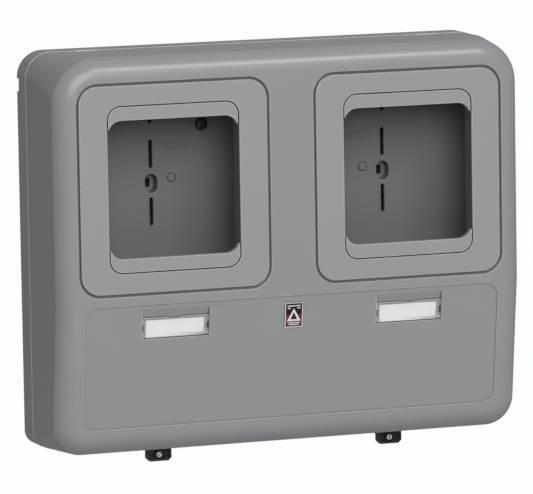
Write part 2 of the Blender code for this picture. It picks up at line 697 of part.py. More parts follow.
def make_plate(label, side, material, screw_material):
    middle = side * WINDOW_X
    front, back = -PLATE_FRONT, -PLATE_FRONT + PLATE_THICK
    overlap = 0.0008
    bm = bmesh.new()
    slab(bm, rounded(PLATE_WIDTH / 2, PLATE_HEIGHT / 2, PLATE_CORNER,
                     (middle, WINDOW_Z - PLATE_DROP), 3), front, back)
    plate = finish("meter_plate_" + label, bm, material)

    sight = (middle, WINDOW_Z - SIGHT_HOLE_DROP)
    half_w, half_h = SIGHT_HOLE_WIDTH / 2, SIGHT_HOLE_HEIGHT / 2
    grown = (half_w + CUP_WALL, half_h + CUP_WALL)
    bm = bmesh.new()
    slab(bm, rounded(*grown, grown[0] * FULL_ROUND, sight, 4), back - overlap,
         front + CUP_DEPTH + CUP_WALL)
    rod(bm, (middle - side * PEG_INBOARD, front - PEG_RISE, WINDOW_Z + PEG_RISE_Z), PEG_RADIUS,
        PEG_RISE + overlap)
    shape(plate, finish("plate_boss_" + label, bm), "UNION")

    past = 0.002
    bm = bmesh.new()
    slab(bm, rounded(half_w, half_h, half_w * FULL_ROUND, sight, 4), front - past,
         front + CUP_DEPTH)
    slot_half = SLOT_WIDTH / 2
    for up in SLOT_CENTRES:
        slab(bm, rounded(slot_half, SLOT_LENGTH / 2, slot_half * FULL_ROUND,
                         (middle, WINDOW_Z + up), 2), front - past, back + past)
    for x, z in post_places(side):
        rod(bm, (x, front - past, z), SCREW_SHANK_RADIUS + TOUCH, PLATE_THICK + 2 * past)
    shape(plate, finish("plate_holes_" + label, bm), "DIFFERENCE")
    bm = bmesh.new()
    slab(bm, rounded(CUP_SLOT_WIDTH / 2, CUP_SLOT_HEIGHT / 2, CUP_SLOT_WIDTH / 2 * FULL_ROUND,
                     sight, 2), front + CUP_DEPTH - past, front + CUP_DEPTH + CUP_WALL + past)
    shape(plate, finish("plate_cup_slot_" + label, bm), "DIFFERENCE")

    head = SCREW_HEAD_RADIUS
    tall = SCREW_HEAD_HEIGHT
    profile = [(0, SCREW_RECESS), (SCREW_SOCKET, SCREW_RECESS), (SCREW_SOCKET, 0),
               (SCREW_CROWN, 0), (head, SCREW_SHOULDER), (head, tall), (SCREW_SHANK_RADIUS, tall),
               (SCREW_SHANK_RADIUS, tall + SCREW_LENGTH), (0, tall + SCREW_LENGTH)]
    for number, (x, z) in enumerate(post_places(side), start=1):
        bm = bmesh.new()
        turned(bm, profile, (x, front - TOUCH - tall, z))
        finish("plate_screw_%s_%d" % (label, number), bm, screw_material, round_piece=True)


# ---- Cover locks and plugs ----------------------------------------------------------------

def neck_span():
    """Front and rear y of the bracket's neck through the cover's lower wall."""
    middle = -(LOCK_FRONT + LOCK_REAR) / 2
    return (middle - NECK_DEPTH / 2, middle + NECK_DEPTH / 2)


def make_lock(label, side, black, steel, brass):
    x = side * LOCK_X
    axis_z = -HALF_H - LOCK_SCREW_DROP
    front, back = -LOCK_FRONT, -LOCK_REAR
    top = -HALF_H - TOUCH
    foot = -HALF_H - LOCK_DROP
    half = LOCK_WIDTH / 2
    overlap = 0.001
    past = 0.002
    outline = [(x + half, top), (x - half, top), (x - half, foot + LOCK_CHAMFER),
               (x - half + LOCK_CHAMFER, foot), (x + half - LOCK_CHAMFER, foot),
               (x + half, foot + LOCK_CHAMFER)]
    bm = bmesh.new()
    slab(bm, outline, front, back)
    bracket = finish("lock_bracket_" + label, bm, black)

    y0, y1 = neck_span()
    neck = NECK_WIDTH / 2
    bm = bmesh.new()
    box(bm, (x - neck, y0, top - overlap),
        (x + neck, y1, -HALF_H + COVER_WALL + TOUCH + overlap))
    shape(bracket, finish("bracket_neck_" + label, bm), "UNION")
    bm = bmesh.new()
    clip_foot = -HALF_H + COVER_WALL + TOUCH
    box(bm, (x - neck - NECK_CLIP, y0, clip_foot),
        (x + neck + NECK_CLIP, y1, clip_foot + NECK_CLIP_HEIGHT))
    shape(bracket, finish("bracket_clip_" + label, bm), "UNION")

    inner = half - LOCK_FLANGE
    bm = bmesh.new()
    box(bm, (x - inner, front - past, foot + LOCK_FLANGE),
        (x + inner, front + LOCK_RECESS, top - LOCK_FLANGE))
    shape(bracket, finish("bracket_face_" + label, bm), "DIFFERENCE")
    bm = bmesh.new()
    rod(bm, (x, front + LOCK_RECESS / 4, axis_z), LOCK_BOSS_RADIUS, LOCK_RECESS)
    shape(bracket, finish("bracket_boss_" + label, bm), "UNION")
    seat = front + LOCK_RECESS / 4 + LOCK_HEAD_HEIGHT
    bore = LOCK_SHANK_RADIUS + TOUCH
    ring = RETAINER_RADIUS + TOUCH
    ring_front = back - RETAINER_THICK - 3 * TOUCH
    bm = bmesh.new()
    turned(bm, [(0, front - past), (LOCK_HEAD_RADIUS + TOUCH, front - past),
                (LOCK_HEAD_RADIUS + TOUCH, seat), (bore, seat), (bore, ring_front),
                (ring, ring_front), (ring, back + past), (0, back + past)], (x, 0, axis_z))
    shape(bracket, finish("bracket_bore_" + label, bm), "DIFFERENCE")

    head_front = seat - LOCK_HEAD_HEIGHT - TOUCH
    tip = LOCK_ENGAGE - LUG_FRONT
    shank = LOCK_SHANK_RADIUS
    profile = [(0, 0), (LOCK_HEAD_RADIUS, 0), (LOCK_HEAD_RADIUS, LOCK_HEAD_HEIGHT),
               (shank, LOCK_HEAD_HEIGHT), (shank, tip - head_front - shank),
               (shank / 2, tip - head_front), (0, tip - head_front)]
    bm = bmesh.new()
    turned(bm, profile, (0, 0, 0))
    screw = finish("lock_screw_" + label, bm, steel, location=(x, head_front, axis_z),
                   round_piece=True)
    bm = bmesh.new()
    box(bm, (-2 * LOCK_HEAD_RADIUS, -past, -LOCK_SLOT_WIDTH / 2),
        (2 * LOCK_HEAD_RADIUS, LOCK_SLOT_DEPTH, LOCK_SLOT_WIDTH / 2))
    slot = finish("lock_screw_slot_" + label, bm, location=(x, head_front, axis_z))
    slot.rotation_euler = Euler((0, LOCK_SLOT_TURN[label], 0))
    shape(screw, slot, "DIFFERENCE")

    bm = bmesh.new()
    inner_ring = shank + TOUCH
    turned(bm, [(inner_ring, 0), (RETAINER_RADIUS, 0), (RETAINER_RADIUS, RETAINER_THICK),
                (inner_ring, RETAINER_THICK)], (x, ring_front + TOUCH, axis_z))
    finish("screw_retainer_" + label, bm, steel, round_piece=True)

    bm = bmesh.new()
    turned(bm, [(INSERT_BORE, 0), (INSERT_RADIUS, 0), (INSERT_RADIUS, INSERT_LENGTH),
                (INSERT_BORE, INSERT_LENGTH)], (x, -LUG_FRONT, axis_z))
    finish("lock_insert_" + label, bm, brass, round_piece=True)


def make_plug(label, side, material):
    foot = -HALF_H - TRAY_PROUD - TOUCH - PLUG_FLANGE_THICK
    flange = PLUG_RADIUS + PLUG_FLANGE
    dish = PLUG_RADIUS - PLUG_WALL
    profile = [(0, PLUG_DISH), (dish, PLUG_DISH), (dish + PLUG_DISH, 0), (flange, 0),
               (flange, PLUG_FLANGE_THICK), (PLUG_RADIUS, PLUG_FLANGE_THICK),
               (PLUG_RADIUS, PLUG_FLANGE_THICK + PLUG_STEM),
               (dish, PLUG_FLANGE_THICK + PLUG_STEM), (dish, PLUG_FLANGE_THICK + PLUG_FLOOR),
               (0, PLUG_FLANGE_THICK + PLUG_FLOOR)]
    bm = bmesh.new()
    turned(bm, profile, (side * PLUG_X, -SEAM_DEPTH / 2, foot), "Z")
    finish("conduit_plug_" + label, bm, material, round_piece=True)


# ---- Assembly -----------------------------------------------------------------------------

def build():
    clear_scene()
    tray_grey = plastic("tray_grey", (0.20, 0.21, 0.22), 0.5)
    cover_grey = plastic("cover_grey", (0.29, 0.30, 0.315), 0.42)
    frame_grey = plastic("frame_grey", (0.31, 0.32, 0.335), 0.45)
    plate_grey = plastic("plate_grey", (0.24, 0.255, 0.265), 0.55)
    black = plastic("black_nylon", (0.02, 0.02, 0.022), 0.45)
    steel = plastic("zinc_steel", (0.62, 0.62, 0.60), 0.35, metallic=1.0)
    brass = plastic("brass", (0.65, 0.47, 0.20), 0.35, metallic=1.0)
    clear = plastic("clear_flap", (0.85, 0.88, 0.90), 0.12, alpha=0.35)
    card = plastic("white_card", (0.80, 0.80, 0.79), 0.8)
    red = plastic("red_label", (0.20, 0.03, 0.04), 0.5)

    make_tray(tray_grey)
    make_cover(cover_grey)
    make_label(red)
    for label, side in SIDES:
        make_plate(label, side, plate_grey, black)
        make_window(label, side, frame_grey, frame_grey)
        make_name_plate(label, side, clear, card)
        make_lock(label, side, black, steel, brass)
        make_plug(label, side, tray_grey)


build()
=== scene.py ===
from math import asin, atan, cos, pi, radians, sin

import bmesh
import bpy
from mathutils import Euler, Matrix, Vector


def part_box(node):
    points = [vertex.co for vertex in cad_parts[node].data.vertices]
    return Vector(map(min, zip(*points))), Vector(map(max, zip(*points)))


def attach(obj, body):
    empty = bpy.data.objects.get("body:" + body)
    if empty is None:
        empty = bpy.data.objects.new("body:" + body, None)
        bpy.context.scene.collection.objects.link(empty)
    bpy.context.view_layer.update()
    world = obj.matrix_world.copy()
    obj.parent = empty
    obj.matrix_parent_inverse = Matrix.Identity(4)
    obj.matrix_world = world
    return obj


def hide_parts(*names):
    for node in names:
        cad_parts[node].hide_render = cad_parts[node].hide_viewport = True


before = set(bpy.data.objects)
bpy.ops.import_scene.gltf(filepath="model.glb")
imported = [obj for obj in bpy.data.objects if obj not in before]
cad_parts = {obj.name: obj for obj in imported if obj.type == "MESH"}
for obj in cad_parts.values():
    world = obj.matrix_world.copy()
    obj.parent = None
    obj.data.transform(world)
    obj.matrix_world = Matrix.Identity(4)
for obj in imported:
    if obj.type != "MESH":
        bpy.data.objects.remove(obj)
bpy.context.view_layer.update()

# ---- Wall tray ------------------------------------------------------------------------------
# The rear half of the box is a shallow tray moulded in grey resin and screwed to the wall.
# Its rim stands a hair outside the cover, a lip inside it guides the cover on, and posts on
# its floor carry the meter plates. Two lugs below take the cover's locking screws.

put_in_scene = bpy.context.scene.collection.objects.link


def node(tree, kind, inputs=(), **settings):
    """Add a node. Each input is a socket to link from or a value to set."""
    made = tree.nodes.new(kind)
    for key, value in settings.items():
        setattr(made, key, value)
    for key, value in dict(inputs).items():
        if isinstance(value, bpy.types.NodeSocket):
            tree.links.new(value, made.inputs[key])
        else:
            made.inputs[key].default_value = value
    return made


def calc(tree, operation, *values):
    return node(tree, "ShaderNodeMath", enumerate(values), operation=operation).outputs[0]


def make_stack_tree():
    """Skin a stack of rounded rectangles, one for each point of the section handed in.

    A point's x and z are the half width and half height, and y is where it lies. Its corner
    and foot attributes are the upper and lower corner radii, and shrink 1 closes that end.
    Below the fold height the stack is set back by the fold slope, as far as the rear limit.
    """
    tree = bpy.data.node_groups.new("rounded_stack", "GeometryNodeTree")
    for name, kind in (("Section", "Geometry"), ("Centre", "Vector"), ("Corner Steps", "Int"),
                       ("Fold Height", "Float"), ("Fold Slope", "Float"),
                       ("Rear Limit", "Float"), ("Finish", "Material")):
        tree.interface.new_socket(name, in_out="INPUT", socket_type="NodeSocket" + kind)
    tree.interface.new_socket("Shape", in_out="OUTPUT", socket_type="NodeSocketGeometry")
    given = tree.nodes.new("NodeGroupInput").outputs
    section, steps = given["Section"], given["Corner Steps"]
    centre = node(tree, "ShaderNodeSeparateXYZ", {0: given["Centre"]}).outputs

    rows = node(tree, "GeometryNodeAttributeDomainSize", {"Geometry": section}).outputs[0]
    per_corner = calc(tree, "ADD", steps, 2)
    columns = calc(tree, "MULTIPLY_ADD", per_corner, 4, 1)
    grid = node(tree, "GeometryNodeMeshGrid", {"Vertices X": columns, "Vertices Y": rows})
    index = node(tree, "GeometryNodeInputIndex").outputs[0]
    column = calc(tree, "FLOOR", calc(tree, "DIVIDE", calc(tree, "ADD", index, 0.5), rows))
    row = calc(tree, "SUBTRACT", index, calc(tree, "MULTIPLY", column, rows))

    def read(kind, value):
        return node(tree, "GeometryNodeSampleIndex", {"Geometry": section, "Value": value,
                                                      "Index": row}, data_type=kind).outputs[0]

    def named(label):
        field = node(tree, "GeometryNodeInputNamedAttribute", {"Name": label},
                     data_type="FLOAT").outputs[0]
        return read("FLOAT", field)

    place = node(tree, "GeometryNodeInputPosition").outputs[0]
    size = node(tree, "ShaderNodeSeparateXYZ", {0: read("FLOAT_VECTOR", place)}).outputs
    shrink = named("shrink")
    quarter = calc(tree, "FLOOR",
                   calc(tree, "DIVIDE", calc(tree, "ADD", column, 0.5), per_corner))
    lower = calc(tree, "GREATER_THAN", calc(tree, "ABSOLUTE", calc(tree, "ADD", quarter, -1.5)), 1)
    radius = named("corner")
    radius = calc(tree, "MULTIPLY_ADD", lower, calc(tree, "SUBTRACT", named("foot"), radius),
                  radius)
    local = calc(tree, "SUBTRACT", column, calc(tree, "MULTIPLY", quarter, per_corner))
    share = calc(tree, "DIVIDE", calc(tree, "MINIMUM", local, steps), steps)
    turn = calc(tree, "MULTIPLY", calc(tree, "ADD", share, calc(tree, "ADD", quarter, -1)),
                pi / 2)
    middle = calc(tree, "MULTIPLY", calc(tree, "ADD", quarter, -0.5), pi / 2)
    extra = calc(tree, "GREATER_THAN", local, steps)
    odd = calc(tree, "MODULO", quarter, 2)

    def across(wave, half):
        """Place along one axis: corner centre plus its share of the arc."""
        sign = calc(tree, "SIGN", calc(tree, wave, middle))
        straight = calc(tree, "SUBTRACT", half, radius)
        arc = calc(tree, "MULTIPLY", radius, calc(tree, wave, turn))
        return calc(tree, "MULTIPLY_ADD", sign, straight, arc), straight

    x, _ = across("COSINE", size[0])
    z, straight = across("SINE", size[2])
    fold = calc(tree, "SUBTRACT", given["Fold Height"], centre[2])
    fold = calc(tree, "MINIMUM", straight, fold)
    fold = calc(tree, "MAXIMUM", calc(tree, "MULTIPLY", straight, -1), fold)
    on_side = calc(tree, "MULTIPLY", extra, calc(tree, "SUBTRACT", 1, odd))
    z = calc(tree, "MULTIPLY_ADD", on_side, calc(tree, "SUBTRACT", fold, z), z)
    on_end = calc(tree, "SUBTRACT", 1, calc(tree, "MULTIPLY", extra, odd))
    x = calc(tree, "MULTIPLY", calc(tree, "MULTIPLY", x, on_end),
             calc(tree, "SUBTRACT", 1, shrink))
    height = calc(tree, "ADD", z, centre[2])
    drop = calc(tree, "MAXIMUM", 0, calc(tree, "SUBTRACT", given["Fold Height"], height))
    y = calc(tree, "MULTIPLY_ADD", drop, given["Fold Slope"], size[1])
    y = calc(tree, "MINIMUM", calc(tree, "ADD", y, centre[1]), given["Rear Limit"])
    spot = node(tree, "ShaderNodeCombineXYZ", {0: calc(tree, "ADD", x, centre[0]), 1: y,
                                               2: height}).outputs[0]
    shape = node(tree, "GeometryNodeSetPosition",
                 {"Geometry": grid.outputs["Mesh"], "Position": spot}).outputs[0]
    shape = node(tree, "GeometryNodeMergeByDistance",
                 {"Geometry": shape, "Distance": 0.000002}).outputs[0]
    shape = node(tree, "GeometryNodeRealizeInstances", {"Geometry": shape}).outputs[0]
    shape = node(tree, "GeometryNodeSetMaterial",
                 {"Geometry": shape, "Material": given["Finish"]}).outputs[0]
    node(tree, "NodeGroupOutput", {"Shape": shape})
    return tree


def set_inputs(step, values):
    """Set a geometry-nodes modifier's inputs, given by name, through their identifiers."""
    for item in step.node_group.interface.items_tree:
        if item.name in values:
            step[item.identifier] = values[item.name]


def settle(piece, outward=True):
    """Make a piece's modifiers into a plain mesh with its faces pointing outwards."""
    bpy.context.view_layer.update()
    graph = bpy.context.evaluated_depsgraph_get()
    made = bpy.data.meshes.new_from_object(piece.evaluated_get(graph), depsgraph=graph)
    piece.modifiers.clear()
    piece.data = made
    made.name = piece.name
    if outward:
        bm = bmesh.new()
        bm.from_mesh(made)
        bmesh.ops.recalc_face_normals(bm, faces=bm.faces)
        bm.to_mesh(made)
        bm.free()
    return piece


STACK_TREE = make_stack_tree()


def stack(name, rows, centre=(0, 0, 0), steps=10, fold=(0.0, 0.0), rear=1.0, finish=None):
    """A closed shape skinned over rows of (half width, half height, corner, y, shrink).

    A row's corner is a radius, or a pair of radii for its upper and its lower corners.
    """
    mesh = bpy.data.meshes.new(name)
    mesh.from_pydata([(row[0], row[3], row[1]) for row in rows], [], [])
    corners = [row[2] if isinstance(row[2], tuple) else (row[2], row[2]) for row in rows]
    values = {"corner": [float(upper) for upper, _ in corners],
              "foot": [float(lower) for _, lower in corners],
              "shrink": [float(row[4]) for row in rows]}
    for label, amounts in values.items():
        attribute = mesh.attributes.new(label, "FLOAT", "POINT")
        attribute.data.foreach_set("value", amounts)
    piece = bpy.data.objects.new(name, mesh)
    put_in_scene(piece)
    step = piece.modifiers.new("stack", "NODES")
    step.node_group = STACK_TREE
    set_inputs(step, {"Centre": list(map(float, centre)), "Corner Steps": steps,
                      "Fold Height": float(fold[0]), "Fold Slope": float(fold[1]),
                      "Rear Limit": float(rear)})
    if finish is not None:
        set_inputs(step, {"Finish": finish})
    return settle(piece)


def closed(rows):
    """Rows of (half width, half height, corner, y) with both ends shut."""
    return [(*rows[0], 1)] + [(*row, 0) for row in rows] + [(*rows[-1], 1)]


def round_rows(radius_y):
    """Rows of (radius, y): the same shape with circles for its rectangles."""
    return closed([(r, r, r, y) for r, y in radius_y])


def block(name, low, high, soften=0.0):
    """A box between two corners, with its edges rounded by soften."""
    bm = bmesh.new()
    size = Vector(high) - Vector(low)
    middle = (Vector(high) + Vector(low)) / 2
    matrix = Matrix.Translation(middle) @ Matrix.Diagonal((*map(abs, size), 1.0))
    bmesh.ops.create_cube(bm, size=1.0, matrix=matrix)
    if soften:
        bmesh.ops.bevel(bm, geom=bm.edges[:], offset=soften, segments=2, profile=0.5,
                        affect="EDGES")
    bmesh.ops.recalc_face_normals(bm, faces=bm.faces)
    mesh = bpy.data.meshes.new(name)
    bm.to_mesh(mesh)
    bm.free()
    piece = bpy.data.objects.new(name, mesh)
    put_in_scene(piece)
    return piece


def prism(name, outline, x0, x1, lip=0.0):
    """A bar along x with the outline (y, z), its long edges rounded by lip."""
    bm = bmesh.new()
    rows = [[bm.verts.new((x, y, z)) for y, z in outline] for x in (x0, x1)]
    count = len(outline)
    for i in range(count):
        j = (i + 1) % count
        bm.faces.new((rows[0][i], rows[0][j], rows[1][j], rows[1][i]))
    bm.faces.new(rows[0])
    bm.faces.new(rows[1])
    bmesh.ops.recalc_face_normals(bm, faces=bm.faces)
    if lip:
        bmesh.ops.bevel(bm, geom=bm.edges[:], offset=lip, segments=2, profile=0.5,
                        affect="EDGES")
    mesh = bpy.data.meshes.new(name)
    bm.to_mesh(mesh)
    bm.free()
    piece = bpy.data.objects.new(name, mesh)
    put_in_scene(piece)
    return piece


def combine(piece, operation, *tools):
    """Add or cut away the tools, one after the other, and delete them."""
    for tool in tools:
        step = piece.modifiers.new(tool.name, "BOOLEAN")
        step.object = tool
        step.operation = operation
        step.solver = "EXACT"
    settle(piece)
    for tool in tools:
        bpy.data.objects.remove(tool)
    return piece


def fit(piece, finish, body, slot, *nodes, crease=21):
    """Give a finished piece its material and shading, and hang it on its body."""
    mesh = piece.data
    mesh.materials.clear()
    mesh.materials.append(finish)
    mesh.shade_smooth()
    mesh.set_sharp_from_angle(angle=radians(crease))
    step = piece.modifiers.new("flat faces lead", "WEIGHTED_NORMAL")
    step.keep_sharp = True
    settle(piece, outward=False)
    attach(piece, body)
    if nodes:
        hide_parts(*nodes)
    return piece


def make_group(name, inputs, outputs):
    """A shader node group with named inputs and outputs: its tree, inputs and end node."""
    tree = bpy.data.node_groups.new(name, "ShaderNodeTree")
    for label, kind, value in inputs:
        socket = tree.interface.new_socket(label, in_out="INPUT",
                                           socket_type="NodeSocket" + kind)
        socket.default_value = value
    for label, kind in outputs:
        tree.interface.new_socket(label, in_out="OUTPUT", socket_type="NodeSocket" + kind)
    return tree, tree.nodes.new("NodeGroupInput").outputs, tree.nodes.new("NodeGroupOutput")


def make_edge_group():
    """How near a spot lies to an edge, for a painted highlight there: 1 on edges, 0 on open faces.
    """
    tree, given, end = make_group("rubbed_edges", [("Reach", "Float", 0.0018),
                                                   ("Gain", "Float", 7.0)], [("Edge", "Float")])
    soft = node(tree, "ShaderNodeBevel", {"Radius": given["Reach"]}, samples=6).outputs[0]
    true = node(tree, "ShaderNodeNewGeometry").outputs["Normal"]
    same = node(tree, "ShaderNodeVectorMath", {0: soft, 1: true},
                operation="DOT_PRODUCT").outputs["Value"]
    away = calc(tree, "SUBTRACT", 1, same)
    mask = node(tree, "ShaderNodeMath", {0: away, 1: given["Gain"]}, operation="MULTIPLY",
                use_clamp=True).outputs[0]
    tree.links.new(mask, end.inputs["Edge"])
    return tree


def make_resin_group():
    """Moulded resin: cloudy shade, fine spark-eroded grain, dust on ledges, a painted highlight on
    edges and painted shade in seams, grooves and corners.
    """
    tree, given, end = make_group(
        "moulded_resin",
        [("Base", "Color", (0.3, 0.3, 0.3, 1)), ("Clouding", "Float", 0.05),
         ("Fleck", "Float", 0.05), ("Grain Size", "Float", 1400.0),
         ("Roughness", "Float", 0.45), ("Roughness Spread", "Float", 0.08),
         ("Edge Lift", "Float", 0.1), ("Grime", "Float", 0.5), ("Dust", "Float", 0.1)],
        [("Colour", "Color"), ("Roughness", "Float"), ("Height", "Float")])
    where = node(tree, "ShaderNodeTexCoord").outputs
    cloud = node(tree, "ShaderNodeTexNoise", {"Vector": where["Object"], "Scale": 11.0,
                                              "Detail": 3.0}).outputs["Fac"]
    fleck = node(tree, "ShaderNodeTexNoise", {"Vector": where["Object"], "Scale": 620.0,
                                              "Detail": 2.0}).outputs["Fac"]
    grain = node(tree, "ShaderNodeTexNoise", {"Vector": where["Object"],
                                              "Scale": given["Grain Size"],
                                              "Detail": 2.0, "Roughness": 0.6}).outputs["Fac"]
    swing = calc(tree, "MULTIPLY", calc(tree, "SUBTRACT", cloud, 0.5), given["Clouding"])
    spots = calc(tree, "MULTIPLY", calc(tree, "SUBTRACT", fleck, 0.5), given["Fleck"])
    # Painted highlight: the colour is made paler along edges, by the edge mask times the edge
    # share.
    edge = node(tree, "ShaderNodeGroup", {}, node_tree=EDGE_GROUP).outputs["Edge"]
    rise = calc(tree, "MULTIPLY", edge, given["Edge Lift"])
    gain = calc(tree, "ADD", calc(tree, "ADD", calc(tree, "ADD", swing, spots), rise), 1)
    # Painted shade: the colour is darkened in seams, grooves and corners, where shade falls.
    crevice = node(tree, "ShaderNodeGroup", {}, node_tree=CREVICE_GROUP).outputs["Crevice"]
    gain = calc(tree, "MULTIPLY", gain,
                calc(tree, "SUBTRACT", 1, calc(tree, "MULTIPLY", crevice, given["Grime"])))
    colour = node(tree, "ShaderNodeVectorMath", {0: given["Base"], "Scale": gain},
                  operation="SCALE").outputs[0]
    up = node(tree, "ShaderNodeSeparateXYZ", {0: where["Normal"]}).outputs[2]
    lies = node(tree, "ShaderNodeMapRange", {0: up, 1: 0.75, 2: 1.0}).outputs[0]
    patch = node(tree, "ShaderNodeMapRange", {0: cloud, 1: 0.35, 2: 0.7}).outputs[0]
    dust = calc(tree, "MULTIPLY", calc(tree, "MULTIPLY", lies, patch), given["Dust"])
    dusty = node(tree, "ShaderNodeMix", {0: dust, 6: colour, 7: (0.42, 0.42, 0.41, 1)},
                 data_type="RGBA").outputs[2]
    rough = calc(tree, "MULTIPLY_ADD", calc(tree, "SUBTRACT", fleck, 0.5),
                 given["Roughness Spread"], given["Roughness"])
    rough = calc(tree, "ADD", rough, calc(tree, "MULTIPLY", dust, 0.5))
    rough = calc(tree, "SUBTRACT", rough, calc(tree, "MULTIPLY", edge, 0.06))
    tree.links.new(dusty, end.inputs["Colour"])
    tree.links.new(rough, end.inputs["Roughness"])
    tree.links.new(grain, end.inputs["Height"])
    return tree


def make_crevice_group():
    """How far a spot lies in a seam, groove or corner, for painted shade there: 1 deep inside and
    0 in the open.
    """
    tree, given, end = make_group("crevice_shade", [("Reach", "Float", 0.0018),
                                                    ("Gain", "Float", 2.2)],
                                  [("Crevice", "Float")])
    open_share = node(tree, "ShaderNodeAmbientOcclusion", {"Distance": given["Reach"]},
                      samples=6).outputs["AO"]
    mask = node(tree, "ShaderNodeMath", {0: calc(tree, "SUBTRACT", 1, open_share),
                                         1: given["Gain"]}, operation="MULTIPLY",
                use_clamp=True).outputs[0]
    tree.links.new(mask, end.inputs["Crevice"])
    return tree


EDGE_GROUP = make_edge_group()
CREVICE_GROUP = make_crevice_group()
RESIN_GROUP = make_resin_group()


def resin(name, base, grain_depth=0.00006, specular=0.5, **values):
    """A moulded resin; the values are those of the moulded_resin group's inputs."""
    material = bpy.data.materials.new(name)
    material.use_nodes = True
    tree = material.node_tree
    shader = tree.nodes["Principled BSDF"]
    shader.inputs["Specular IOR Level"].default_value = specular
    inputs = {label.replace("_", " ").title(): value for label, value in values.items()}
    surface = node(tree, "ShaderNodeGroup", {}, node_tree=RESIN_GROUP)
    surface.inputs["Base"].default_value = (*base, 1)
    for label, value in inputs.items():
        surface.inputs[label].default_value = value
    bump = node(tree, "ShaderNodeBump", {"Height": surface.outputs["Height"],
                                         "Strength": 0.35, "Distance": grain_depth})
    tree.links.new(surface.outputs["Colour"], shader.inputs["Base Color"])
    tree.links.new(surface.outputs["Roughness"], shader.inputs["Roughness"])
    tree.links.new(bump.outputs[0], shader.inputs["Normal"])
    return material


cover_low, cover_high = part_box("cover_shell")
tray_low, tray_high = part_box("base_tray")
half_w, half_h = cover_high.x, cover_high.z
side_corner, foot_corner = 0.026, 0.014
rim_proud = tray_high.x - half_w
rim_y = -0.028
slip = 0.0005
wall = 0.003
TRAY_GREY = resin("tray_grey", (0.27, 0.28, 0.295), roughness=0.42, fleck=0.06,
                  edge_lift=1.8, grime=0.15, dust=0.2)


def tray_row(inset, y):
    edge = inset - rim_proud
    return (half_w - edge, half_h - edge, (side_corner - edge, foot_corner - edge), y)


lip_out = wall + slip + rim_proud
lip_in = lip_out + 0.002
lip_top = rim_y - 0.008
soft = 0.0004
tray = stack("tray", closed([
    tray_row(soft, 0), tray_row(0, -soft), tray_row(0, rim_y + soft),
    tray_row(soft * 0.3, rim_y + soft * 0.3), tray_row(soft, rim_y), tray_row(lip_out, rim_y),
    tray_row(lip_out, lip_top + soft), tray_row(lip_out + soft, lip_top),
    tray_row(lip_in - soft, lip_top), tray_row(lip_in, lip_top + soft),
    tray_row(lip_in, -wall - 0.0015), tray_row(lip_in + 0.0015, -wall)]), steps=12)

post_screws = [sum(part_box("plate_screw_%s_%d" % (label, number)), Vector()) / 2
               for label in ("left", "right") for number in (1, 2, 3, 4)]
plate_back = -0.0478
rib_z = min(place.z for place in post_screws) - 0.011
posts = []
for number, place in enumerate(post_screws):
    posts.append(stack("post_%d" % number, round_rows([
        (0.0075, -wall + 0.001), (0.0075, -wall), (0.0062, -wall - 0.0015),
        (0.0055, plate_back + 0.0008), (0.0051, plate_back + 0.0003)]),
        centre=(place.x, 0, place.z), steps=7))
ribs = [block("cross_rib", (-half_w + lip_in, -wall - 0.008, rib_z - 0.0025),
              (half_w - lip_in, -wall + 0.001, rib_z), 0.0004),
        block("upright_rib", (-0.00125, -wall - 0.008, rib_z - 0.001),
              (0.00125, -wall + 0.001, half_h - lip_in), 0.0004)]
lugs, bores = [], []
lug_low = tray_low.z
arm_top = -half_h - 2 * slip
arm_foot = arm_top - 0.0035
for label in ("left", "right"):
    insert_low, insert_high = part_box("lock_insert_" + label)
    middle = (insert_low + insert_high) / 2
    lug_y = insert_low.y
    profile = [(lug_y, arm_top), (lug_y, lug_low), (lug_y + 0.008, lug_low),
               (lug_y + 0.008, arm_foot), (-0.010, arm_foot), (-0.010, -half_h + 0.0005),
               (rim_y + 0.001, -half_h + 0.0005), (rim_y + 0.001, arm_top)]
    lugs.append(prism("lug_" + label, profile, middle.x - 0.007, middle.x + 0.007, 0.0005))
    for end in (-1, 1):
        rib_x = middle.x + end * 0.0058
        lugs.append(prism("lug_web_" + label, [
            (lug_y + 0.0075, arm_foot + 0.001), (lug_y + 0.0075, lug_low + 0.003),
            (lug_y + 0.0095, lug_low + 0.003), (rim_y + 0.006, arm_foot - 0.0005),
            (rim_y + 0.006, arm_foot + 0.001)], rib_x - 0.0008, rib_x + 0.0008, 0.0003))
    bores.append(stack("insert_bore_" + label, round_rows([
        (0.004, insert_low.y - 0.002), (0.004, insert_high.y + 0.003)]),
        centre=(middle.x, 0, middle.z)))
hooks = []
for side in (-1, 1):
    hooks.append(block("hook", (side * 0.183 - 0.0115, rim_y - 0.0045, half_h - 0.0045),
                       (side * 0.183 + 0.0115, rim_y + 0.001, half_h - 0.0003), 0.0005))
combine(tray, "UNION", *posts, *ribs, *lugs, *hooks)
for side in (-1, 1):
    for up in (-1, 1):
        bores.append(stack("wall_slot", closed([
            (0.0032, 0.007, 0.0031, 0.002), (0.0032, 0.007, 0.0031, -0.006)]),
            centre=(side * 0.185, 0, up * 0.135), steps=6))
    bores.append(block("side_notch", (side * tray_high.x - 0.002, -0.006, half_h - 0.04),
                       (side * tray_high.x + 0.002, 0.002, half_h - 0.027)))
    plug_low, plug_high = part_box("conduit_plug_" + ("left" if side < 0 else "right"))
    hole = stack("plug_hole", round_rows([(0.0093, -0.004), (0.0093, 0.012)]), steps=8)
    hole.data.transform(Matrix.Translation((
        (plug_low.x + plug_high.x) / 2, (plug_low.y + plug_high.y) / 2, -half_h))
        @ Matrix.Rotation(pi / 2, 4, "X"))
    bores.append(hole)
bores.append(stack("cable_hole", closed([
    (0.045, 0.025, 0.006, 0.002), (0.045, 0.025, 0.006, -0.006)]),
    centre=(0, 0, 0.078 - half_h)))
for place in post_screws:
    bores.append(stack("pilot", round_rows([(0.0023, plate_back - 0.002),
                                            (0.0023, plate_back + 0.013)]),
                       centre=(place.x, 0, place.z), steps=5))
combine(tray, "DIFFERENCE", *bores)
fit(tray, TRAY_GREY, "tray", "tray_grey", "base_tray")

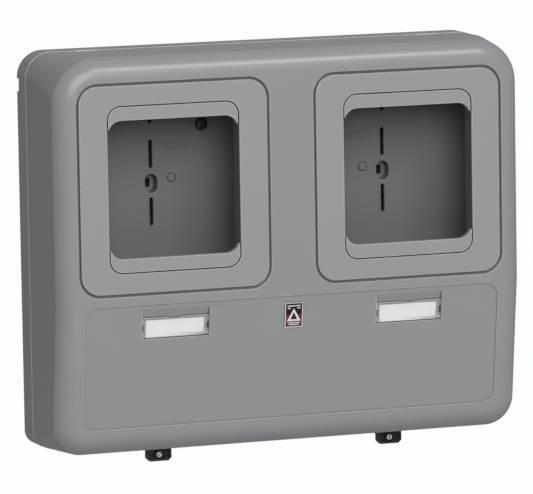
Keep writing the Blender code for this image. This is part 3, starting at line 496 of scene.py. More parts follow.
# ---- Cover ----------------------------------------------------------------------------------
# One deep moulding in mid grey resin with a satin, finely grained skin. Its front edge is
# rolled over in a wide radius that ends in a crease on the side walls, and the lower face
# leans back below the windows, with a shallow flat panel let into it.

edge_radius = 0.0225
edge_sweep = radians(65)
crease_corners = (0.044, 0.029)
front_corner = 0.004
at_rim, skirt_y = 1.0, -0.0585
front_y = cover_low.y
slope = 0.12
window_low, window_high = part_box("window_frame_left")
window_x = -(window_low.x + window_high.x) / 2
window_z = (window_low.z + window_high.z) / 2
groove = 0.0025
pocket_half = ((window_high.x - window_low.x) / 2 + groove,
               (window_high.z - window_low.z) / 2 + groove)
kink_z = window_z - pocket_half[1] - 0.0075
tilt = atan(slope)
COVER_GREY = resin("cover_grey", (0.277, 0.284, 0.299), roughness=0.30, clouding=0.05,
                   fleck=0.07, edge_lift=0.9, grime=0.85, dust=0.12)


def edge_rows(radius, steps):
    """Rows over the rolled front edge, from the crease to the front."""
    span = edge_radius * sin(edge_sweep)
    made = []
    for step in range(steps + 1):
        angle = edge_sweep * (1 - step / steps)
        inset = span - radius * sin(angle)
        made.append(front_row(inset, front_y + edge_radius - radius * cos(angle)))
    return made


def front_row(inset, y):
    corners = tuple(max(corner - inset, front_corner) for corner in crease_corners)
    return (half_w - inset, half_h - inset, corners, y)


def skirt_rows(inset):
    """Rows round the tray: at the rim, and where the corners start to open out."""
    corners = (side_corner - inset, foot_corner - inset)
    return [(half_w - inset, half_h - inset, corners, y) for y in (at_rim, skirt_y)]


inner_radius = edge_radius - wall
inner_crease = front_y + edge_radius - inner_radius * cos(edge_sweep) + 0.001
outside = skirt_rows(0) + edge_rows(edge_radius, 12)
inside = skirt_rows(wall) + [front_row(wall, inner_crease)] + edge_rows(inner_radius, 6)
cover = stack("cover", closed(outside[::-1] + inside), steps=12, fold=(kink_z, slope),
              rear=rim_y - 0.0005)


def mouth_rows(half_x, half_z, corner, y, lip, out=0.006):
    """Rows of a cutter that comes in at y and leaves a rounded lip round its mouth."""
    rows = [(half_x + lip, half_z + lip, corner + lip, y - out)]
    for step in range(5):
        angle = pi / 2 * step / 4
        grow = lip * (1 - sin(angle))
        rows.append((half_x + grow, half_z + grow, corner + grow, y + lip * (1 - cos(angle))))
    return rows


pocket_depth = 0.0033
pocket_corner = 0.022
ledges, pockets = [], []
for side in (-1, 1):
    at = (side * window_x, 0, window_z)
    ledges.append(stack("ledge", closed([
        (pocket_half[0] + 0.0015, pocket_half[1] + 0.0025, 0.0245, front_y + wall / 3),
        (pocket_half[0] + 0.0015, pocket_half[1] + 0.0025, 0.0245,
         front_y + pocket_depth + wall)]), centre=at, steps=12))
    hole = (pocket_half[0] - 0.007, pocket_half[1] - 0.007, pocket_corner - 0.007)
    pockets.append(stack("pocket", closed(
        mouth_rows(*pocket_half, pocket_corner, front_y, 0.0010) +
        [(*pocket_half, pocket_corner, front_y + pocket_depth),
         (*hole, front_y + pocket_depth), (*hole, front_y + 0.02)]), centre=at, steps=12))
combine(cover, "UNION", *ledges)
panel_top = kink_z - 0.0022
panel_foot = 0.0265 - half_h
panel_depth = 0.0008
panel = stack("panel", closed(
    mouth_rows(half_w - 0.0262, (panel_top - panel_foot) / 2, 0.014, front_y, 0.00025) +
    [(half_w - 0.0262, (panel_top - panel_foot) / 2, 0.014, front_y + panel_depth - 0.0001),
     (half_w - 0.0263, (panel_top - panel_foot) / 2 - 0.0001, 0.0139, front_y + panel_depth)]),
    centre=(0, 0, (panel_top + panel_foot) / 2), steps=12, fold=(kink_z, slope))
combine(cover, "DIFFERENCE", *pockets, panel)

name_w, name_h = 0.071, 0.0305
name_depth, ramp, ramp_depth = 0.0048, 0.0090, 0.0030
name_z = panel_top - 0.0045 - name_h / 2
name_y = front_y + slope * (kink_z - name_z) + panel_depth
lean = Matrix.Rotation(tilt, 4, "X")


blocks, cuts, slots = [], [], []
for side in (-1, 1):
    seat = Matrix.Translation((side * window_x, name_y, name_z)) @ lean
    x = name_w / 2
    z = name_h / 2
    back = name_depth + 0.0025
    blocks.append(block("name_block", (-x - 0.0037, wall / 3, -z - 0.0025),
                        (x + 0.0037, back, z + 0.0025)))
    cuts.append(prism("name_pocket", [
        (-0.006, z + 0.0002), (0.0, z + 0.0002), (ramp_depth, z - ramp),
        (name_depth, z - ramp), (name_depth, -z), (0.0002, -z), (-0.0001, -z - 0.0003),
        (-0.006, -z - 0.0003)], -x, x))
    cuts.append(prism("name_pivot", [
        (0.0019 + 0.0012 * cos(pi * i / 6), 0.0019 - z + 0.0012 * sin(pi * i / 6))
        for i in range(12)], -x - 0.0012, x + 0.0012))
    for end in (-1, 1):
        edge_x = end * (x - slip)
        slots.append(block("clip_slot", (min(edge_x, edge_x - end * 0.0024), 0.003, -0.009),
                           (max(edge_x, edge_x - end * 0.0024), back + 0.001, -0.0008)))
        slots[-1].data.transform(seat)
    for piece in (blocks[-1], *cuts[-2:]):
        piece.data.transform(seat)
combine(cover, "UNION", *blocks)
openings = []
for side in (-1, 1):
    tab_low, tab_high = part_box("lock_bracket_" + ("left" if side < 0 else "right"))
    neck_y = (tab_low.y + tab_high.y) / 2
    openings.append(block("lock_neck", (side * window_x - 0.0083, neck_y - 0.0028,
                                        -half_h - 0.006),
                          (side * window_x + 0.0083, neck_y + 0.0028, -half_h + 0.009)))
    openings.append(block("hook_slot", (side * 0.183 - 0.012, rim_y - 0.005, half_h - 0.009),
                          (side * 0.183 + 0.012, rim_y + 0.006, half_h + 0.006)))
combine(cover, "DIFFERENCE", *cuts, *slots, *openings)
fit(cover, COVER_GREY, "cover", "cover_grey", "cover_shell")

# ---- Window frames --------------------------------------------------------------------------
# A flat frame drops into each pocket and leaves an open groove round it. Its collar turns
# in towards the meter. Two strips close the ends of the opening and can be taken out for a
# taller meter. The frame and strips are the cover's resin, a shade paler, with rounded
# visible edges; the collar is coloured dark, painted shade inside the opening.

light_w, light_h, light_corner = 0.06925, 0.0837, 0.014
frame_depth, collar_wall = 0.003, 0.0022
FRAME_GREY = resin("frame_grey", (0.298, 0.304, 0.32), roughness=0.36, clouding=0.04,
                   fleck=0.07, edge_lift=1.1, grime=0.95, dust=0.15)
# Painted shade: the collar's walls are coloured near black to stand for the shade inside the
# opening.
COLLAR_PAINTED_SHADE = resin("collar_grey", (0.115, 0.12, 0.125), roughness=0.5, fleck=0.07,
                    edge_lift=0.1, dust=0.1)


def arc_rows(half_x, half_z, corner, y, lip, inward, steps=4):
    """Rows round an outer (inward 1) or an inner (inward -1) front edge."""
    rows = []
    for step in range(steps + 1):
        angle = pi / 2 * step / steps
        pull = lip * (1 - cos(angle)) * inward
        rows.append((half_x - pull, half_z - pull, corner - pull, y + lip * (1 - sin(angle))))
    return rows


def mouth_outline(wide, top, edge_z, corner, steps):
    """Half of a strip's outline: the frame's round end above, the meter's round end below."""
    tip_wall = 0.0009
    sweep = pi / 2 - 2 * asin((tip_wall / 2 / light_corner) ** 0.5)
    half = []
    for i in range(steps + 1):
        angle = pi / 2 - pi / 2 * i / steps
        half.append((wide - corner + corner * cos(angle), top - corner + corner * sin(angle)))
    start = pi / 2 - sweep
    for i in range(steps + 1):
        angle = start + sweep * i / steps
        arc = (wide - light_corner + light_corner * cos(angle),
               edge_z - light_corner + light_corner * sin(angle))
        if i == 0:
            half.append((wide, arc[1]))
        half.append(arc)
    return half + [(-x, z) for x, z in reversed(half)]


def plate_piece(name, outline, y0, y1, soften):
    """A flat piece with the outline (x, z); only its front and rear edges are rounded."""
    bm = bmesh.new()
    loops = [[bm.verts.new((x, y, z)) for x, z in outline] for y in (y0, y1)]
    count = len(outline)
    for i in range(count):
        j = (i + 1) % count
        bm.faces.new((loops[0][i], loops[0][j], loops[1][j], loops[1][i]))
    caps = [bm.faces.new(loop) for loop in loops]
    bmesh.ops.recalc_face_normals(bm, faces=bm.faces)
    edges = [edge for cap in caps for edge in cap.edges]
    bmesh.ops.bevel(bm, geom=edges, offset=soften, segments=3, profile=0.5, affect="EDGES",
                    clamp_overlap=True)
    mesh = bpy.data.meshes.new(name)
    bm.to_mesh(mesh)
    bm.free()
    piece = bpy.data.objects.new(name, mesh)
    put_in_scene(piece)
    return piece


for label, side in (("left", -1), ("right", 1)):
    body = "window_" + label
    low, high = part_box("window_frame_" + label)
    outer_w, outer_h = (high.x - low.x) / 2, (high.z - low.z) / 2
    outer_corner = pocket_corner - groove
    frame_back = low.y + frame_depth
    at = (side * window_x, 0, window_z)
    rows = [(outer_w, outer_h, outer_corner, frame_back)]
    rows += arc_rows(outer_w, outer_h, outer_corner, low.y, 0.0011, 1)
    rows += arc_rows(light_w, light_h, light_corner, low.y, 0.0009, -1)[::-1]
    rows += [(light_w, light_h, light_corner, frame_back), rows[0]]
    ring = stack("frame_" + label, [(*row, 0) for row in rows], centre=at, steps=14)
    fit(ring, FRAME_GREY, body, "frame_grey", "window_frame_" + label)
    rows = [(light_w + out, light_h + out, light_corner + out, y)
            for out, y in ((0, frame_back - 0.0006), (0, high.y), (collar_wall, high.y),
                           (collar_wall, frame_back - 0.0006))]
    rows.append(rows[0])
    collar = stack("collar_" + label, [(*row, 0) for row in rows], centre=at, steps=14)
    fit(collar, COLLAR_PAINTED_SHADE, body, "frame_grey")
    for place, up in (("upper", 1), ("lower", -1)):
        name = "window_strip_%s_%s" % (place, label)
        low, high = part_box(name)
        wide = (high.x - low.x) / 2
        top = max(abs(high.z - window_z), abs(low.z - window_z))
        outline = mouth_outline(wide, top, light_h - 0.0146, light_corner - 0.0008, 12)
        outline = [(side * window_x + x, window_z + up * z) for x, z in outline]
        strip = plate_piece("strip_%s_%s" % (place, label), outline, low.y, high.y, 0.0008)
        fit(strip, FRAME_GREY, body, "frame_grey", name)

# ---- Meter plates ---------------------------------------------------------------------------
# Each meter hangs on a flat resin plate with upright slots for its screws. A cupped sight
# hole and a locating peg sit in the middle, a row of raised ticks marks the upper slot, and
# four black cross-head screws hold the plate on the tray's posts.

plate_thick = 0.003
slot_centres = (0.0722, 0.0261, -0.0321, -0.0924)
slot_half = (0.002, 0.0144)
sight_half = (0.007, 0.00975)
cup_depth = 0.011
PLATE_GREY = resin("plate_grey", (0.148, 0.158, 0.168), roughness=0.55, clouding=0.12,
                   fleck=0.10, edge_lift=0.9, grime=0.7, grain_size=900.0, dust=0.2, specular=0.35)
BLACK_NYLON = resin("black_nylon", (0.012, 0.012, 0.014), roughness=0.42, fleck=0.2,
                    edge_lift=1.2, grain_size=2200.0, dust=0.04)


def make_places_tree():
    """Set one part at every place, turned about y by each place's turn, plus a fixed
    random share of Spread."""
    tree = bpy.data.node_groups.new("parts_at_places", "GeometryNodeTree")
    for name, kind in (("Places", "Geometry"), ("Part", "Object"), ("Spread", "Float"),
                       ("Seed", "Int"), ("Finish", "Material")):
        tree.interface.new_socket(name, in_out="INPUT", socket_type="NodeSocket" + kind)
    tree.interface.new_socket("Parts", in_out="OUTPUT", socket_type="NodeSocketGeometry")
    given = tree.nodes.new("NodeGroupInput").outputs
    part = node(tree, "GeometryNodeObjectInfo", {"Object": given["Part"]}).outputs["Geometry"]
    turn = node(tree, "GeometryNodeInputNamedAttribute", {"Name": "turn"},
                data_type="FLOAT").outputs[0]
    chance = node(tree, "FunctionNodeRandomValue", {"Seed": given["Seed"]},
                  data_type="FLOAT").outputs[1]
    angle = calc(tree, "MULTIPLY_ADD", chance, given["Spread"], turn)
    about = node(tree, "ShaderNodeCombineXYZ", {1: angle}).outputs[0]
    spun = node(tree, "FunctionNodeEulerToRotation", {0: about}).outputs[0]
    parts = node(tree, "GeometryNodeInstanceOnPoints",
                 {"Points": given["Places"], "Instance": part, "Rotation": spun}).outputs[0]
    parts = node(tree, "GeometryNodeRealizeInstances", {"Geometry": parts}).outputs[0]
    parts = node(tree, "GeometryNodeSetMaterial",
                 {"Geometry": parts, "Material": given["Finish"]}).outputs[0]
    node(tree, "NodeGroupOutput", {"Parts": parts})
    return tree


PLACES_TREE = make_places_tree()


def spread_out(name, part, places, turns=None, spread=0.0, seed=1, finish=None):
    """One mesh with the part at every place; the part itself is deleted."""
    mesh = bpy.data.meshes.new(name)
    mesh.from_pydata([tuple(place) for place in places], [], [])
    attribute = mesh.attributes.new("turn", "FLOAT", "POINT")
    attribute.data.foreach_set("value", list(turns or [0.0] * len(places)))
    piece = bpy.data.objects.new(name, mesh)
    put_in_scene(piece)
    step = piece.modifiers.new("places", "NODES")
    step.node_group = PLACES_TREE
    set_inputs(step, {"Part": part, "Spread": spread, "Seed": seed, "Finish": finish})
    settle(piece, outward=False)
    bpy.data.objects.remove(part)
    return piece


for label, side in (("left", -1), ("right", 1)):
    low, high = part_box("meter_plate_" + label)
    front = -0.0508
    back = front + plate_thick
    middle = (low + high) / 2
    half = ((high.x - low.x) / 2, (high.z - low.z) / 2)
    rows = [(*half, 0.008, back)] + arc_rows(*half, 0.008, front, 0.0005, 1)
    plate = stack("meter_plate_fine_" + label, closed(rows),
                  centre=(middle.x, 0, middle.z), steps=8)
    sight = (side * window_x, 0, window_z - 0.0037)
    cup = stack("cup", closed([(sight_half[0] + 0.0018, sight_half[1] + 0.0018, 0.0087,
                                back - 0.0008),
                               (sight_half[0] + 0.0018, sight_half[1] + 0.0018, 0.0087,
                                front + cup_depth + 0.0018)]), centre=sight, steps=12)
    peg_at = (side * (window_x - 0.0218), 0, window_z + 0.0017)
    ring_out = stack("peg_ring", round_rows([(0.0062, front + 0.0005), (0.0062, front - 0.00025),
                                             (0.0059, front - 0.0005)]), centre=peg_at)
    combine(plate, "UNION", cup, ring_out)
    cutters = [stack("sight", closed(mouth_rows(*sight_half, 0.0069, front, 0.0006) +
                                     [(*sight_half, 0.0069, front + cup_depth)]),
                     centre=sight, steps=12),
               stack("peg_well", round_rows([(0.0052, front - 0.002), (0.0052, front + 0.0009)]),
                     centre=peg_at)]
    for up in slot_centres:
        cutters.append(stack("slot", closed(
            mouth_rows(*slot_half, 0.00199, front, 0.0003) +
            [(*slot_half, 0.00199, back + 0.002)]),
            centre=(side * window_x, 0, window_z + up), steps=8))
    screws = [sum(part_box("plate_screw_%s_%d" % (label, number)), Vector()) / 2
              for number in (1, 2, 3, 4)]
    for place in screws:
        cutters.append(stack("screw_hole", round_rows([(0.0023, front - 0.002),
                                                       (0.0023, back + 0.002)]),
                             centre=(place.x, 0, place.z), steps=6))
    combine(plate, "DIFFERENCE", *cutters)
    combine(plate, "DIFFERENCE",
            stack("cup_slot", closed([(0.00275, 0.00525, 0.0027, front + cup_depth - 0.002),
                                      (0.00275, 0.00525, 0.0027, front + cup_depth + 0.004)]),
                  centre=sight, steps=8))
    peg = stack("peg", round_rows([
        (0.0042, front + 0.0012), (0.0042, front - 0.0006), (0.0039, front - 0.001),
        (0.0034, front - 0.0012)]), centre=peg_at, steps=8)
    combine(plate, "UNION", peg)
    fit(plate, PLATE_GREY, "tray", "plate_grey", "meter_plate_" + label)

    rim = stack("rim", [(*row, 0) for row in [
        (0.0030, 0.0154, 0.0029, front + 0.0002), (0.0030, 0.0154, 0.0029, front - 0.0002),
        (0.0028, 0.0152, 0.0027, front - 0.0004), (0.0025, 0.0149, 0.0024, front - 0.0004),
        (0.0023, 0.0147, 0.0022, front - 0.0001), (0.0023, 0.0147, 0.0022, front + 0.0002),
        (0.0030, 0.0154, 0.0029, front + 0.0002)]], steps=6)
    rims = spread_out("slot_rims_" + label, rim,
                      [(side * window_x, 0, window_z + up) for up in slot_centres],
                      finish=PLATE_GREY)
    fit(rims, PLATE_GREY, "tray", "plate_grey")

    tick = block("tick", (-0.0007, front - 0.0005, -0.0021), (0.0007, front + 0.0003, 0.0021),
                 0.00015)
    count = 9
    mark_z = window_z + 0.0343
    tick_x = [side * (window_x - 0.0135 - 0.0031 * i) for i in range(count)]
    ticks = spread_out("plate_ticks_" + label, tick,
                       [(x, 0, mark_z) for x in tick_x], finish=PLATE_GREY)
    fit(ticks, PLATE_GREY, "tray", "plate_grey")
    line_x = sorted((side * (window_x - 0.0032), side * (window_x - 0.0115)))
    line = block("plate_line_" + label, (line_x[0], front - 0.0004, mark_z - 0.0004),
                 (line_x[1], front + 0.0003, mark_z + 0.0004), 0.00015)
    fit(line, PLATE_GREY, "tray", "plate_grey")
    border = stack("tick_border_" + label, [(*row, 0) for row in [
        (0.0146, 0.0034, 0.0010, front + 0.0002), (0.0146, 0.0034, 0.0010, front - 0.0005),
        (0.0140, 0.0028, 0.0006, front - 0.0005), (0.0140, 0.0028, 0.0006, front + 0.0002),
        (0.0146, 0.0034, 0.0010, front + 0.0002)]],
        centre=((tick_x[0] + tick_x[-1]) / 2, 0, mark_z), steps=4)
    fit(border, PLATE_GREY, "tray", "plate_grey")

    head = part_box("plate_screw_%s_1" % label)[0].y
    screw = stack("screw", round_rows([
        (0.0036, head), (0.0047, head + 0.0002), (0.0057, head + 0.0008),
        (0.0062, head + 0.0016), (0.0062, head + 0.0030), (0.0060, head + 0.0032),
        (0.0020, head + 0.0032), (0.0020, head + 0.0172), (0.0012, head + 0.0182)]), steps=7)
    combine(screw, "DIFFERENCE",
            block("cross_a", (-0.0030, head - 0.001, -0.0006), (0.0030, head + 0.0018, 0.0006)),
            block("cross_b", (-0.0006, head - 0.001, -0.0030), (0.0006, head + 0.0018, 0.0030)))
    screw_set = spread_out("plate_screws_" + label, screw,
                           [(place.x, 0, place.z) for place in screws], spread=pi / 2,
                           seed=3 + side, finish=BLACK_NYLON)
    fit(screw_set, BLACK_NYLON, "tray", "black_nylon",
        *["plate_screw_%s_%d" % (label, number) for number in (1, 2, 3, 4)])

# ---- Name plates ----------------------------------------------------------------------------
# Below each window a white card stands in a sunk pocket behind a clear flap. The flap is cut
# from polished clear resin, turns on two small pins at its foot and has a thumb notch in its
# top edge.

flap_thick = 0.0018
clip_w, clip_low, clip_high = 0.0024, -0.009, -0.0008


def make_card_stock():
    """Matt white card: short paper fibres and a slight mottle."""
    material = bpy.data.materials.new("white_card")
    material.use_nodes = True
    tree = material.node_tree
    shader = tree.nodes["Principled BSDF"]
    where = node(tree, "ShaderNodeTexCoord").outputs["Object"]
    fibre = node(tree, "ShaderNodeMapping", {0: where, "Scale": (1.0, 1.0, 3.5)}).outputs[0]
    fibres = node(tree, "ShaderNodeTexNoise", {"Vector": fibre, "Scale": 900.0,
                                               "Detail": 4.0}).outputs["Fac"]
    colour = node(tree, "ShaderNodeMix", {0: fibres, 6: (0.86, 0.86, 0.85, 1),
                                          7: (0.97, 0.97, 0.96, 1)}, data_type="RGBA").outputs[2]
    bump = node(tree, "ShaderNodeBump", {"Height": fibres, "Strength": 0.3,
                                         "Distance": 0.00004}).outputs[0]
    rough = node(tree, "ShaderNodeMapRange", {0: fibres, 3: 0.75, 4: 0.9}).outputs[0]
    tree.links.new(colour, shader.inputs["Base Color"])
    tree.links.new(rough, shader.inputs["Roughness"])
    tree.links.new(bump, shader.inputs["Normal"])
    return material


def make_clear_resin():
    """Clear flap: see-through on its faces; its edge faces are paler and less clear, a painted
    highlight.
    """
    material = bpy.data.materials.new("clear_resin")
    material.use_nodes = True
    tree = material.node_tree
    shader = tree.nodes["Principled BSDF"]
    shader.inputs["IOR"].default_value = 1.49
    shader.inputs["Coat Weight"].default_value = 0.0
    where = node(tree, "ShaderNodeTexCoord").outputs
    leant = node(tree, "ShaderNodeVectorMath", {0: where["Normal"],
                                                1: (0.0, -cos(tilt), -sin(tilt))},
                 operation="DOT_PRODUCT").outputs["Value"]
    flat = node(tree, "ShaderNodeMath", {0: leant}, operation="ABSOLUTE").outputs[0]
    # Painted highlight: faces turned away from the flap's face are made paler and more opaque.
    edge = node(tree, "ShaderNodeMapRange", {0: flat, 1: 0.97, 2: 0.6}).outputs[0]
    smear = node(tree, "ShaderNodeTexNoise", {"Vector": where["Object"], "Scale": 60.0,
                                              "Detail": 3.0}).outputs["Fac"]
    see = node(tree, "ShaderNodeMapRange", {0: edge, 3: 0.14, 4: 0.75}).outputs[0]
    rough = node(tree, "ShaderNodeMapRange", {0: smear, 3: 0.06, 4: 0.16}).outputs[0]
    colour = node(tree, "ShaderNodeMix", {0: edge, 6: (0.75, 0.78, 0.80, 1),
                                          7: (0.93, 0.95, 0.96, 1)}, data_type="RGBA").outputs[2]
    tree.links.new(colour, shader.inputs["Base Color"])
    tree.links.new(rough, shader.inputs["Roughness"])
    tree.links.new(see, shader.inputs["Alpha"])
    return material


CARD_STOCK = make_card_stock()
CLEAR_RESIN = make_clear_resin()
for label, side in (("left", -1), ("right", 1)):
    seat = Matrix.Translation((side * window_x, name_y, name_z)) @ lean
    x = name_w / 2 - slip
    foot = -name_h / 2 + 0.0010
    top = name_h / 2 - ramp - slip
    notch, notch_deep = 0.006, 0.0016
    right = [(x, foot), (x, clip_low), (x - clip_w, clip_low), (x - clip_w, clip_high),
             (x, clip_high), (x, top), (notch + notch_deep, top), (notch, top - notch_deep)]
    outline = right + [(-px, pz) for px, pz in reversed(right)]
    flap = plate_piece("name_flap_fine_" + label, outline, 0.0010, 0.0010 + flap_thick, 0.0002)
    pins = []
    for end in (-1, 1):
        pin = stack("pin", round_rows([(0.0009, -0.0010), (0.0009, 0.0006), (0.0006, 0.0007)]),
                    steps=5)
        pin.data.transform(Matrix.Translation((end * x, 0.0019, 0.0019 - name_h / 2))
                           @ Matrix.Rotation(end * pi / 2, 4, "Z"))
        pins.append(pin)
    combine(flap, "UNION", *pins)
    flap.data.transform(seat)
    fit(flap, CLEAR_RESIN, "name_flap_" + label, "clear_flap", "name_window_" + label)

    card_back = name_depth - 0.0003
    card = block("name_card_fine_" + label, (-0.03065, card_back - 0.0006, -name_h / 2 + 0.0003),
                 (0.03065, card_back, -name_h / 2 + 0.0181), 0.00012)
    card.data.transform(seat)
    fit(card, CARD_STOCK, "cover", "white_card", "name_card_" + label)

# ---- Label ----------------------------------------------------------------------------------
# A dark red printed film is stuck on the panel between the name plates. It has a pale
# border and plain pale bars and shapes only, without any words.

label_low, label_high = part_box("caution_label")
label_z = (label_low.z + label_high.z) / 2
label_w, label_h = 0.0192, 0.0255
label_y = front_y + slope * (kink_z - label_z) + panel_depth


def make_print_group():
    """A printed patch with rounded corners: 1 inside it and 0 outside."""
    tree, given, end = make_group(
        "printed_patch",
        [("Vector", "Vector", (0, 0, 0)), ("X", "Float", 0.0), ("Z", "Float", 0.0),
         ("Half Width", "Float", 0.01), ("Half Height", "Float", 0.01),
         ("Corner", "Float", 0.001)], [("Mask", "Float")])
    at = node(tree, "ShaderNodeSeparateXYZ", {0: given["Vector"]}).outputs
    reach = []
    for place, centre, half in ((at[0], "X", "Half Width"), (at[2], "Z", "Half Height")):
        away = calc(tree, "ABSOLUTE", calc(tree, "SUBTRACT", place, given[centre]))
        inner = calc(tree, "SUBTRACT", given[half], given["Corner"])
        reach.append(calc(tree, "MAXIMUM", 0, calc(tree, "SUBTRACT", away, inner)))
    both = calc(tree, "ADD", calc(tree, "MULTIPLY", reach[0], reach[0]),
                calc(tree, "MULTIPLY", reach[1], reach[1]))
    past = calc(tree, "SUBTRACT", calc(tree, "SQRT", both), given["Corner"])
    mask = node(tree, "ShaderNodeMapRange", {0: past, 1: 0.00006, 2: -0.00006}).outputs[0]
    tree.links.new(mask, end.inputs["Mask"])
    return tree


PRINT_GROUP = make_print_group()


def make_label_film():
    """Gloss film printed in dark red with pale marks and a dark field."""
    material = bpy.data.materials.new("red_label")
    material.use_nodes = True
    tree = material.node_tree
    shader = tree.nodes["Principled BSDF"]
    shader.inputs["Specular IOR Level"].default_value = 0.25
    where = node(tree, "ShaderNodeTexCoord").outputs["Object"]
    ink = node(tree, "ShaderNodeTexNoise", {"Vector": where, "Scale": 1500.0,
                                            "Detail": 2.0}).outputs["Fac"]
    red = node(tree, "ShaderNodeMix", {0: ink, 6: (0.115, 0.020, 0.028, 1),
                                       7: (0.16, 0.030, 0.040, 1)}, data_type="RGBA").outputs[2]
    pale = (0.72, 0.70, 0.70, 1)
    dark = (0.014, 0.008, 0.010, 1)

    def patch(colour, paint, x, z, wide, high, corner):
        mask = node(tree, "ShaderNodeGroup", {
            "Vector": where, "X": x, "Z": label_z + z, "Half Width": wide,
            "Half Height": high, "Corner": corner}, node_tree=PRINT_GROUP).outputs["Mask"]
        return node(tree, "ShaderNodeMix", {0: mask, 6: colour, 7: paint},
                    data_type="RGBA").outputs[2]

    def triangle(colour, paint, foot, top, half):
        at = node(tree, "ShaderNodeSeparateXYZ", {0: where}).outputs
        rise = calc(tree, "SUBTRACT", at[2], label_z + foot)
        reach = calc(tree, "SUBTRACT", half, calc(tree, "MULTIPLY", rise, half / (top - foot)))
        inside = calc(tree, "SUBTRACT", reach, calc(tree, "ABSOLUTE", at[0]))
        least = calc(tree, "MINIMUM", inside, rise)
        mask = node(tree, "ShaderNodeMapRange", {0: least, 1: -0.00006, 2: 0.00006}).outputs[0]
        return node(tree, "ShaderNodeMix", {0: mask, 6: colour, 7: paint},
                    data_type="RGBA").outputs[2]

    colour = patch(pale, red, 0.0, 0.0, 0.0087, 0.0119, 0.0009)
    colour = patch(colour, dark, 0.0, 0.0062, 0.0087, 0.0057, 0.0009)
    for x, z, wide in ((-0.0030, 0.0094, 0.0040), (0.0042, 0.0094, 0.0028),
                       (-0.0052, 0.0071, 0.0016), (0.0052, 0.0071, 0.0016)):
        colour = patch(colour, pale, x, z, wide, 0.00055, 0.0002)
    colour = triangle(colour, pale, -0.0062, 0.0068, 0.0074)
    colour = triangle(colour, dark, -0.0044, 0.0030, 0.0036)
    for z, wide in ((-0.0080, 0.0064), (-0.0098, 0.0052)):
        colour = patch(colour, pale, 0.0, z, wide, 0.00045, 0.0002)
    rough = node(tree, "ShaderNodeMapRange", {0: ink, 3: 0.28, 4: 0.40}).outputs[0]
    bump = node(tree, "ShaderNodeBump", {"Height": ink, "Strength": 0.15,
                                         "Distance": 0.00003}).outputs[0]
    tree.links.new(colour, shader.inputs["Base Color"])
    tree.links.new(rough, shader.inputs["Roughness"])
    tree.links.new(bump, shader.inputs["Normal"])
    return material


film = stack("label_film", closed([
    (label_w / 2, label_h / 2, 0.0012, -0.0003),
    (label_w / 2, label_h / 2, 0.0012, -0.00075),
    (label_w / 2 - 0.00015, label_h / 2 - 0.00015, 0.00105, -0.0009)]), steps=6)
film.data.transform(Matrix.Translation((0, label_y, label_z)) @ lean)
fit(film, make_label_film(), "cover", "red_label", "caution_label")

# ---- Cover locks ----------------------------------------------------------------------------
# Two black nylon tabs clip into the cover's lower wall. Each holds a slotted plated screw,
# kept in by a small ring, that turns into a knurled brass insert in the tray's lug.

lock_slots = {"left": radians(-40), "right": radians(-84)}


def make_metal(name, dull, bright, roughness, marks):
    """Plated or turned metal: fine turning marks, clouding, a painted highlight on edges and
    painted shade in crevices.
    """
    material = bpy.data.materials.new(name)
    material.use_nodes = True
    tree = material.node_tree
    shader = tree.nodes["Principled BSDF"]
    shader.inputs["Metallic"].default_value = 0.85
    where = node(tree, "ShaderNodeTexCoord").outputs["Object"]
    cloud = node(tree, "ShaderNodeTexNoise", {"Vector": where, "Scale": 450.0,
                                              "Detail": 3.0}).outputs["Fac"]
    # Painted highlight: edges are mixed towards the bright colour.
    edge = node(tree, "ShaderNodeGroup", {"Reach": 0.0003, "Gain": 5.0},
                node_tree=EDGE_GROUP).outputs["Edge"]
    blend = calc(tree, "MULTIPLY_ADD", cloud, 0.6, calc(tree, "MULTIPLY", edge, 0.5))
    colour = node(tree, "ShaderNodeMix", {0: blend, 6: (*dull, 1), 7: (*bright, 1)},
                  data_type="RGBA").outputs[2]
    # Painted shade: crevices are mixed towards near black.
    crevice = node(tree, "ShaderNodeGroup", {"Reach": 0.0012, "Gain": 1.6},
                   node_tree=CREVICE_GROUP).outputs["Crevice"]
    colour = node(tree, "ShaderNodeMix", {0: crevice, 6: colour, 7: (0.03, 0.03, 0.03, 1)},
                  data_type="RGBA").outputs[2]
    turned = node(tree, "ShaderNodeTexNoise", {"Vector": where, "Scale": marks,
                                               "Detail": 1.0}).outputs["Fac"]
    bump = node(tree, "ShaderNodeBump", {"Height": turned, "Strength": 0.2,
                                         "Distance": 0.00003}).outputs[0]
    rough = node(tree, "ShaderNodeMapRange", {0: cloud, 3: roughness - 0.06,
                                              4: roughness + 0.1}).outputs[0]
    tree.links.new(colour, shader.inputs["Base Color"])
    tree.links.new(rough, shader.inputs["Roughness"])
    tree.links.new(bump, shader.inputs["Normal"])
    return material


